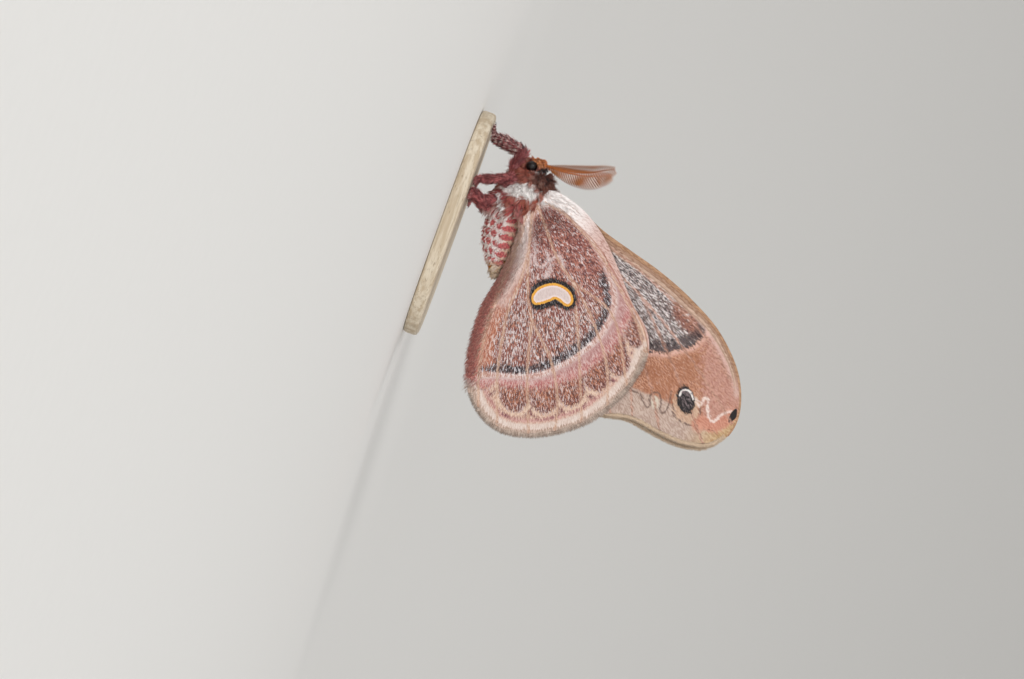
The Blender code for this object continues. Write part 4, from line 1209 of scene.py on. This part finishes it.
def hinge_fur(name, side, seed):
    """Long tufts that run from the thorax on to the root of a hindwing: white in front, then
    tan, then rose."""
    rng = np.random.default_rng(seed)
    count = HINGE_TUFTS
    line = smooth_path(HINDWING_ROOT, 0.1)
    at = rng.uniform(0, 1, count)
    spot = read_off(line, np.linspace(0, 1, len(line)), at)
    radial = fan(spot)
    spot = spot + radial * rng.uniform(-0.6, 1.5, count)[:, None] + rng.normal(0, 0.1, (count, 2))
    outside = np.where(rng.uniform(0, 1, count) < 0.75, 1.0, -1.0)
    level = hindwing_level(*spot.T) + outside * rng.uniform(0.05, 0.4, count)
    roots = stood(spot, side * level)
    to_lock, lock = gather(roots, 14, rng)
    lie = stood(radial, 0.0) + rng.normal(0, 0.12, (lock.max() + 1, 3))[lock]
    lie = unit(lie + rng.normal(0, 0.08, lie.shape))
    length = lock_values(lock, 1.1, 2.1, 0.4, rng)
    marks = dict.fromkeys(("dark", "black", "orange", "abdomen", "cell", "belly", "tail_tip", "amber"),
                          np.zeros(count))
    marks["white"] = np.where(at < 0.36, 1.0, np.where(at < 0.66, 0.2 + 0.5 * rng.uniform(0, 1, count), 0.1))
    marks["rose"] = np.where(at > 0.72, 0.8, 0.0)
    marks["shade"] = lock_values(lock, 0.2, 1, 0.4, rng)
    width = rng.uniform(0.045, 0.075, count)
    lift = lock_values(lock, 0.1, 0.45, 0.4, rng)
    outward = np.outer(side * outside, (0.0, 1.0, 0.0))
    blades = strands(roots, outward, lie, length, width, lift, 0.5 * to_lock)
    return add_tufts(name, blades, marks, on_map(at, rng.uniform(0, 1, count)), coat_finish)


for name, (slot, *coat) in COATS.items():
    body_fur(name, *coat)
for number, (side_name, side) in enumerate(SIDES.items()):
    hinge_fur("hinge_fur_" + side_name, side, HINGE_SEED + number)

# Fringes and wing hair
# Hair scales stand off the outer margin in a dense brush, and long soft hairs clothe the
# hindwing's inner margin and the wing roots, where they run on from the fur of the thorax.
FRINGE_PER_MM = 75
INNER_HAIRS = 4200
ROOT_HAIRS = 1500
FORE_REACH = 0.62               # length of the forewing's fringe, as a share of the hindwing's
FRINGE_SEED = 30
HAIR_SEED = 34
fringe_finish, shader = new_material("fringe_scales", {"Roughness": 0.75})
paint(shader, layered(
    (154, 128, 114), (read("shade"), (226, 208, 194)),
    # the scales are paler towards their roots: partly a pale band of their own, partly painted light against
    # the shade where they crowd at the margin
    (step(read("reach"), 0.7, 0.1) * 0.5, (222, 202, 186)), (read("pale"), (226, 200, 170))))


def margin_fringe(name, side, plan, turn, reach, pale, seed):
    """A brush of scales along the outer margin, on both faces of the sheet."""
    rng = np.random.default_rng(seed)
    outer = plan["outer"]
    run = run_of(outer)
    count = int(FRINGE_PER_MM * run[-1])
    at = rng.uniform(0.3, run[-1] - 0.3, count)
    spot = read_off(outer, run, at)
    outward = read_off(unit(np.gradient(outer, axis=0)), run, at)[:, ::-1] * (-1.0, 1.0)
    depth = rng.uniform(0.75, 1.15, count) * reach
    spot = turned(spot - outward * depth[:, None], turn)
    outward = turned(outward + rng.normal(0, 0.1, outward.shape), turn)
    facing = rng.choice([-1.0, 1.0], count)
    roots = stood(spot, side * (plan["level"](*spot.T) + 0.04 * facing))
    lie = unit(stood(outward, side * 0.05 * facing))
    length = depth * rng.uniform(0.7, 1.2, count)
    width = rng.uniform(0.035, 0.065, count)
    blades = strands(roots, np.outer(side * facing, (0.0, 1.0, 0.0)), lie, length, width,
                     np.full(count, 0.1), np.zeros((count, 3)), stations=(0, 0.6, 1))
    tone = 0.5 + 0.15 * np.sin(at * 2.2) + rng.normal(0, 0.35, count)
    marks = {"shade": np.clip(tone, 0, 1), "pale": np.full(count, pale)}
    spots = on_map(at / run[-1], 0.5 + 0.4 * facing * depth / reach)
    return add_tufts(name, blades, marks, spots, fringe_finish)


def wing_hair(name, side, plan, chance, length, sway, lift, count, seed):
    """Hairs on a wing, rooted where chance is high; they have the wing's own marks."""
    rng = np.random.default_rng(seed)
    chosen = rng.choice(len(plan["flat"]), count, p=chance / chance.sum())
    spot = plan["flat"][chosen] + rng.normal(0, 0.06, (count, 2))
    facing = np.where(rng.uniform(0, 1, count) < 0.7, 1.0, -1.0)
    sunk = np.where(facing > 0, PLEAT + 0.02, -0.05)
    roots = stood(spot, side * (plan["level"](*spot.T) + sunk))
    lie = stood(unit(fan(spot) + sway + rng.normal(0, 0.12, (count, 2))), 0.0)
    size = length * rng.uniform(0.6, 1.2, count)
    blades = strands(roots, np.outer(side * facing, (0.0, 1.0, 0.0)), lie, size,
                     rng.uniform(0.03, 0.055, count), np.full(count, lift), np.zeros((count, 3)))
    marks = {key: value[chosen] for key, value in plan["values"].items()}
    marks["lie"] = lie
    return add_tufts(name, blades, marks, wing_map(spot, plan, facing < 0), plan["finish"])


hind_along, hind_reach = hind_plan["flat"][:, 0], np.hypot(*hind_plan["flat"].T)
spread_out = np.gradient(hind_reach.reshape(hind_plan["grid"]), axis=1).ravel().clip(0.01)
root_chance = (1 - ease(hind_reach, 4.0, 11.0)) * spread_out
inner_chance = ((1 - ease(hind_plan["edges"]["inner"], 1.0, 3.2)) * ease(hind_along, 6.0, 14.0)
                * (1 - ease(hind_along, 35, 41)))
for number, (side_name, side) in enumerate(SIDES.items()):
    fringe = margin_fringe("hindwing_fringe_" + side_name, side, hind_plan, 0.0, FRINGE, 0.0,
                           FRINGE_SEED + number)
    fringe = margin_fringe("forewing_fringe_" + side_name, side, fore_plan, FOREWING_TURN[side_name],
                           FORE_REACH * FRINGE, 0.75, FRINGE_SEED + 2 + number)
    hair = wing_hair("inner_margin_hair_" + side_name, side, hind_plan, inner_chance, 1.5,
                     (0.0, -0.6), 0.25, INNER_HAIRS, HAIR_SEED + number)
    hair = wing_hair("wing_root_hair_" + side_name, side, hind_plan, root_chance, 1.3,
                     (0.0, 0.0), 0.2, ROOT_HAIRS, HAIR_SEED + 2 + number)

# Eyes
# Two round compound eyes of some thousand lenses under the brow, glossy and nearly black.
eye_finish, shader = new_material("compound_eye", {
    "Roughness": 0.3, "Coat Weight": 0.2, "Coat Roughness": 0.1, "Specular IOR Level": 0.3})
facet = step(new_node("TexVoronoi", "Distance", {"Scale": 11.0, "Vector": places()}), 0.6, 0.1)
paint(shader, over(facet, (12, 6, 6), (34, 18, 18)))
relief(shader, facet, 0.02)


EYE_RINGS = 46
EYE_SIDES = 72


def ball(rings, sides):
    """A unit ball: its poles lie across, its rings are circles about that line."""
    rise = np.linspace(0, math.pi, rings + 2)[1:-1, None]
    turn = turns(sides)
    circles = np.stack([np.sin(rise) * np.cos(turn), np.cos(rise) + 0 * turn,
                        np.sin(rise) * np.sin(turn)], axis=-1)
    return np.vstack([[(0.0, 1.0, 0.0)], circles.reshape(-1, 3), [(0.0, -1.0, 0.0)]])


for side_name in SIDES:
    low, high = np.array(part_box("eye_" + side_name))
    verts = 0.5 * (low + high) + 0.5 * (high - low) * ball(EYE_RINGS, EYE_SIDES)
    eye = add_mesh("eye_" + side_name, verts, *ring_faces(EYE_RINGS, EYE_SIDES))
    eye.data.materials.append(eye_finish)
    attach(eye, "root")
    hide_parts("eye_" + side_name)

# Antennae
# The male's feathers: a jointed shaft with two rows of side branches in pairs on each joint,
# and each branch lined with fine bristles that catch scent.
SHAFT = [
    (-7.0, 0.8, -1.6), (-7.3, 1.1, 0.6), (-7.5, 1.7, 2.9), (-8.0, 2.6, 6.0), (-8.9, 3.5, 9.0),
    (-10.1, 4.3, 11.3), (-11.0, 4.9, 13.2),
]
SHAFT_RADII = (0.24, 0.18, 0.15, 0.12, 0.07)
JOINTS = 30
BRANCH_LENGTH = 3.0
BRANCH_LEAN = 0.3025             # towards the tip, and the bow that adds to it
BRANCH_BOW = 0.28
BRANCH_ROWS = [(0.98, -0.2, 0.0), (-0.45, 0.89, 0.0)]
PAIR_SPLAY = 0.05
RIGHT_TIP_BACK = 0.9            # how far the right antenna's tip lies behind the left one's
BRANCH_HALF_WIDTH = 0.105
BRISTLES = 8                    # on each side of a branch
BRISTLE_LENGTH = 0.12
BRISTLE_HALF_WIDTH = 0.012
antenna_finish, shader = new_material("antenna_horn", {"Roughness": 0.55})
tone = step(noise(places(), 3.0, 2.0), 0.4, 0.65)
paint(shader, layered(
    (206, 118, 54), (tone, (150, 78, 40)), (read("branch"), (158, 94, 42))))


def tube(path, radii, sides):
    """A closed round tube: circles across a path, each with its own radius, and a point at
    each end. Successive circles keep their sides lined up."""
    ahead = unit(np.gradient(path, axis=0))
    guide = np.array((0.0, 1.0, 0.0)) if abs(ahead[0, 1]) < 0.8 else np.array((1.0, 0.0, 0.0))
    first = np.empty_like(path)
    for i, heading in enumerate(ahead):
        guide = guide - (guide @ heading) * heading
        guide /= np.linalg.norm(guide)
        first[i] = guide
    second = np.cross(ahead, first)
    turn = turns(sides)[:, None]
    round_it = first[:, None] * np.cos(turn) + second[:, None] * np.sin(turn)
    rings = path[:, None] + radii[:, None, None] * round_it
    verts = np.vstack([path[:1], rings.reshape(-1, 3), path[-1:]])
    return verts, ring_faces(len(path), sides), round_it


def add_antenna(name, side):
    """The shaft, its branches and their bristles, joined into one piece."""
    mirror = np.array((1.0, side, 1.0))
    path = smooth_path(SHAFT, 0.12) * mirror
    if side > 0:
        path[:, 0] += RIGHT_TIP_BACK * np.linspace(0, 1, len(path)) ** 2
    run = run_of(path)
    share = run / run[-1]
    radii = np.interp(share, np.linspace(0, 1, len(SHAFT_RADII)), SHAFT_RADII)
    radii = radii * (1 + 0.14 * np.abs(np.sin(math.pi * JOINTS * share)))
    parts = [(*tube(path, radii, 12)[:2], 0.0)]
    heading = unit(np.gradient(path, axis=0))
    joint = np.linspace(0.12, 0.985, JOINTS)
    length = BRANCH_LENGTH * np.sin(math.pi * (joint - 0.1) / 0.95).clip(0.05) ** 0.7
    bristle_at = np.linspace(0.1, 0.96, BRISTLES)[None, :, None]
    thin = np.ones(JOINTS * BRISTLES)
    for row in BRANCH_ROWS:
        for splay in (-PAIR_SPLAY, PAIR_SPLAY):
            at = (joint + 0.2 * splay / JOINTS) * run[-1]
            roots, ahead = read_off(path, run, at), unit(read_off(heading, run, at))
            outward = np.array(row) * mirror
            outward = unit(outward - (ahead @ outward)[:, None] * ahead)
            outward = unit(outward + splay * np.cross(ahead, outward))
            lie = unit(outward + BRANCH_LEAN * ahead)
            beside = np.cross(lie, ahead)
            drift = BRANCH_BOW * length[:, None] * ahead
            verts, faces = strands(roots, unit(beside), lie, length, np.full(JOINTS, BRANCH_HALF_WIDTH),
                                   np.zeros(JOINTS), drift, sides=4, stations=np.linspace(0, 1, 7))
            parts.append((verts.reshape(-1, 3), faces, 0.75))
            spots = (roots[:, None] + length[:, None, None] * bristle_at * lie[:, None]
                     + bristle_at**2 * drift[:, None]).reshape(-1, 3)
            way, beside, ahead = [np.repeat(part, BRISTLES, axis=0) for part in (lie, beside, ahead)]
            for out in (-1.0, 1.0):
                bristle = unit(0.8 * ahead * out + 0.35 * way + 0.2 * beside)
                verts, faces = strands(spots, way, bristle, BRISTLE_LENGTH * thin,
                                       BRISTLE_HALF_WIDTH * thin, 0 * thin, 0 * spots, stations=(0, 1))
                parts.append((verts.reshape(-1, 3), faces, 1.0))
    return join_parts(name, parts, antenna_finish, "branch")


def join_parts(name, parts, finish, key):
    """One piece of many: parts are places, faces and the value that the material reads."""
    offsets = np.cumsum([0] + [len(verts) for verts, _, _ in parts[:-1]])
    faces = [group + offset for (_, groups, _), offset in zip(parts, offsets) for group in groups]
    piece = add_mesh(name, place_on_moth(np.vstack([verts for verts, _, _ in parts])), *faces)
    mark(piece, {key: np.concatenate([np.broadcast_to(value, len(verts)) for verts, _, value in parts])})
    piece.data.materials.append(finish)
    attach(piece, "root")
    return piece


for side_name, side in SIDES.items():
    antenna = add_antenna("antenna_" + side_name, side)
    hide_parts("antenna_" + side_name)

# Legs
# Six jointed legs: thigh and shin are clothed in rose-red hair scales, the five-jointed foot in
# short flat ones with pale rings. The feet lie on the stand base.
LEGS = {
    "foreleg": [(-2.9, 1.6, -5.6), (-5.6, 2.7, -5.7), (-8.1, 3.6, -4.9), (-9.0, 4.6, -8.2),
                (-9.4, 5.6, -11.5), (-10.4, 7.4, -12.0), (-11.0, 8.6, -12.0)],
    "midleg": [(-0.6, 2.2, -5.6), (-1.6, 4.4, -6.4), (-2.3, 5.6, -5.6), (-1.1, 6.3, -8.6),
               (0.0, 6.8, -11.6), (0.9, 8.4, -12.0), (1.4, 9.8, -12.0)],
    "hindleg": [(2.2, 1.8, -6.4), (3.4, 3.6, -8.6), (4.3, 4.8, -8.4), (3.3, 5.6, -10.2),
                (2.6, 6.2, -11.8), (3.8, 7.6, -12.0), (4.6, 8.6, -12.0)],
}
RIGHT_STANCE = {"foreleg": 0.5, "midleg": -0.4, "hindleg": 0.6}
# radius of the leg without its coat, and its hairs' length, at each point of its course
LEG_RADII = (0.6, 0.72, 0.52, 0.55, 0.36, 0.28, 0.18)
LEG_HAIR = (1.4, 1.5, 1.2, 1.3, 0.7, 0.4, 0.25)
FOOT_START = 4                  # the course's point where the foot begins
FOOT_JOINTS = 5
FORE_BANDS = (2, 9)             # where a foreleg's banding begins, and how many bands it has
SOLE_UP = -12.45
HAIRS_PER_LEG = 2600
LEG_SIDES = 14
LEG_SEED = 50
CLAW = [(0.0, 0.0, 0.0), (0.18, 0.1, 0.1), (0.36, 0.2, 0.08), (0.5, 0.26, -0.12), (0.55, 0.28, -0.4)]
leg_finish, shader = new_material("leg_scales", {"Roughness": 0.65, "Sheen Weight": 0.15})
paint(shader, layered(
    (112, 40, 42), (step(read("shade"), 0.15, 0.85), (206, 116, 116)),
    (read("ring"), (232, 214, 206)), (read("dark_ring"), (52, 24, 26))))
claw_finish, shader = new_material("claw_horn", {"Roughness": 0.3})
paint(shader, over(noise(places(), 4.0), (40, 20, 14), (78, 42, 26)))


def leg_marks(in_foot, fore, shade):
    """Tone of the scales, pale rings at the foot's joints, and dark ones between on a foreleg."""
    wave = np.cos(2 * math.pi * (FORE_BANDS[1] if fore else FOOT_JOINTS) * in_foot)
    foot = (in_foot > 0.02).astype(float)
    return {"shade": shade, "ring": foot * ease(wave, 0.55, 0.8) * (0.9 if fore else 0.35),
            "dark_ring": foot * ease(-wave, 0.5, 0.8) * (0.85 if fore else 0.0)}


def add_leg(name, side, course, shift, fore, seed):
    """One leg with its coat: a jointed tube and the scales that lie along it, none through the
    stand. It gives the middle line of the leg."""
    rng = np.random.default_rng(seed)
    points = np.array(course, float)
    points[2:, 0] += shift
    points[:, 1] *= side
    path = smooth_path(points, 0.12)
    run = run_of(path)
    stops = [run[np.linalg.norm(path - point, axis=1).argmin()] for point in points]
    radii = np.interp(run, stops, LEG_RADII)
    start, joints = FORE_BANDS if fore else (FOOT_START, FOOT_JOINTS)
    in_foot = np.clip((run - stops[start]) / (run[-1] - stops[start]), 0, 1)
    radii = radii * (1 + 0.18 * np.sin(math.pi * joints * in_foot) ** 2 * (in_foot > 0))
    verts, faces, round_it = tube(path, radii, LEG_SIDES)
    verts[:, 2] = np.maximum(verts[:, 2], SOLE_UP)
    own = np.concatenate([[0], np.repeat(np.arange(len(path)), LEG_SIDES), [len(path) - 1]])
    skin = add_mesh(name, place_on_moth(verts), *faces)
    mark(skin, leg_marks(in_foot[own], fore, np.full(len(own), 0.35)))
    skin.data.materials.append(leg_finish)
    row = np.sort(rng.uniform(0.03, 0.985, HAIRS_PER_LEG)) * run[-1]
    index = np.clip(np.searchsorted(run, row), 1, len(path) - 2)
    column = rng.integers(0, LEG_SIDES, HAIRS_PER_LEG)
    outward = round_it[index, column]
    roots = path[index] + 0.9 * radii[index, None] * outward
    roots[:, 2] = np.maximum(roots[:, 2], SOLE_UP + 0.05)
    ahead = unit(np.gradient(path, axis=0))[index]
    length = np.interp(row, stops, LEG_HAIR) * rng.uniform(0.7, 1.2, HAIRS_PER_LEG)
    lie = unit(ahead + rng.normal(0, 0.15, ahead.shape))
    room = (roots[:, 2] - SOLE_UP) / length
    lie[:, 2] = np.maximum(lie[:, 2], -room)
    outward[:, 2] = np.where(room < 0.6, np.maximum(outward[:, 2], 0.0), outward[:, 2])
    width = np.clip(0.1 * length, 0.03, 0.055)
    to_lock, lock = gather(roots, 16, rng)
    lift = lock_values(lock, 0.2, 1.1, 0.4, rng)
    blades = strands(roots, outward, lie, length, width, lift, 0.6 * to_lock)
    blades[0][..., 2] = np.maximum(blades[0][..., 2], SOLE_UP)
    marks = leg_marks(in_foot[index], fore, lock_values(lock, 0, 1, 0.35, rng))
    coat = add_tufts(name + "_hair", blades, marks, on_map(column / LEG_SIDES, row / run[-1]), leg_finish)
    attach(skin, "root")
    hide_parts(name)
    return path


claws = []
number = 0
for side_name, side in SIDES.items():
    for leg_name, course in LEGS.items():
        shift = RIGHT_STANCE[leg_name] if side > 0 else 0.0
        path = add_leg(leg_name + "_" + side_name, side, course, shift, leg_name == "foreleg",
                       LEG_SEED + number)
        number += 1
        ahead = unit(path[-1] - path[-6])
        beside = unit(np.cross(ahead, (0.0, 0.0, 1.0)))
        for out in (-1.0, 1.0):
            hook = path[-1] + np.array(CLAW) @ np.array([ahead, out * beside, (0.0, 0.0, 1.0)])
            curve = smooth_path(hook, 0.06)
            verts, faces, _ = tube(curve, np.linspace(0.085, 0.012, len(curve)), 8)
            claws.append((verts, faces, 0.0))
claw_piece = join_parts("claws", claws, claw_finish, "shade")
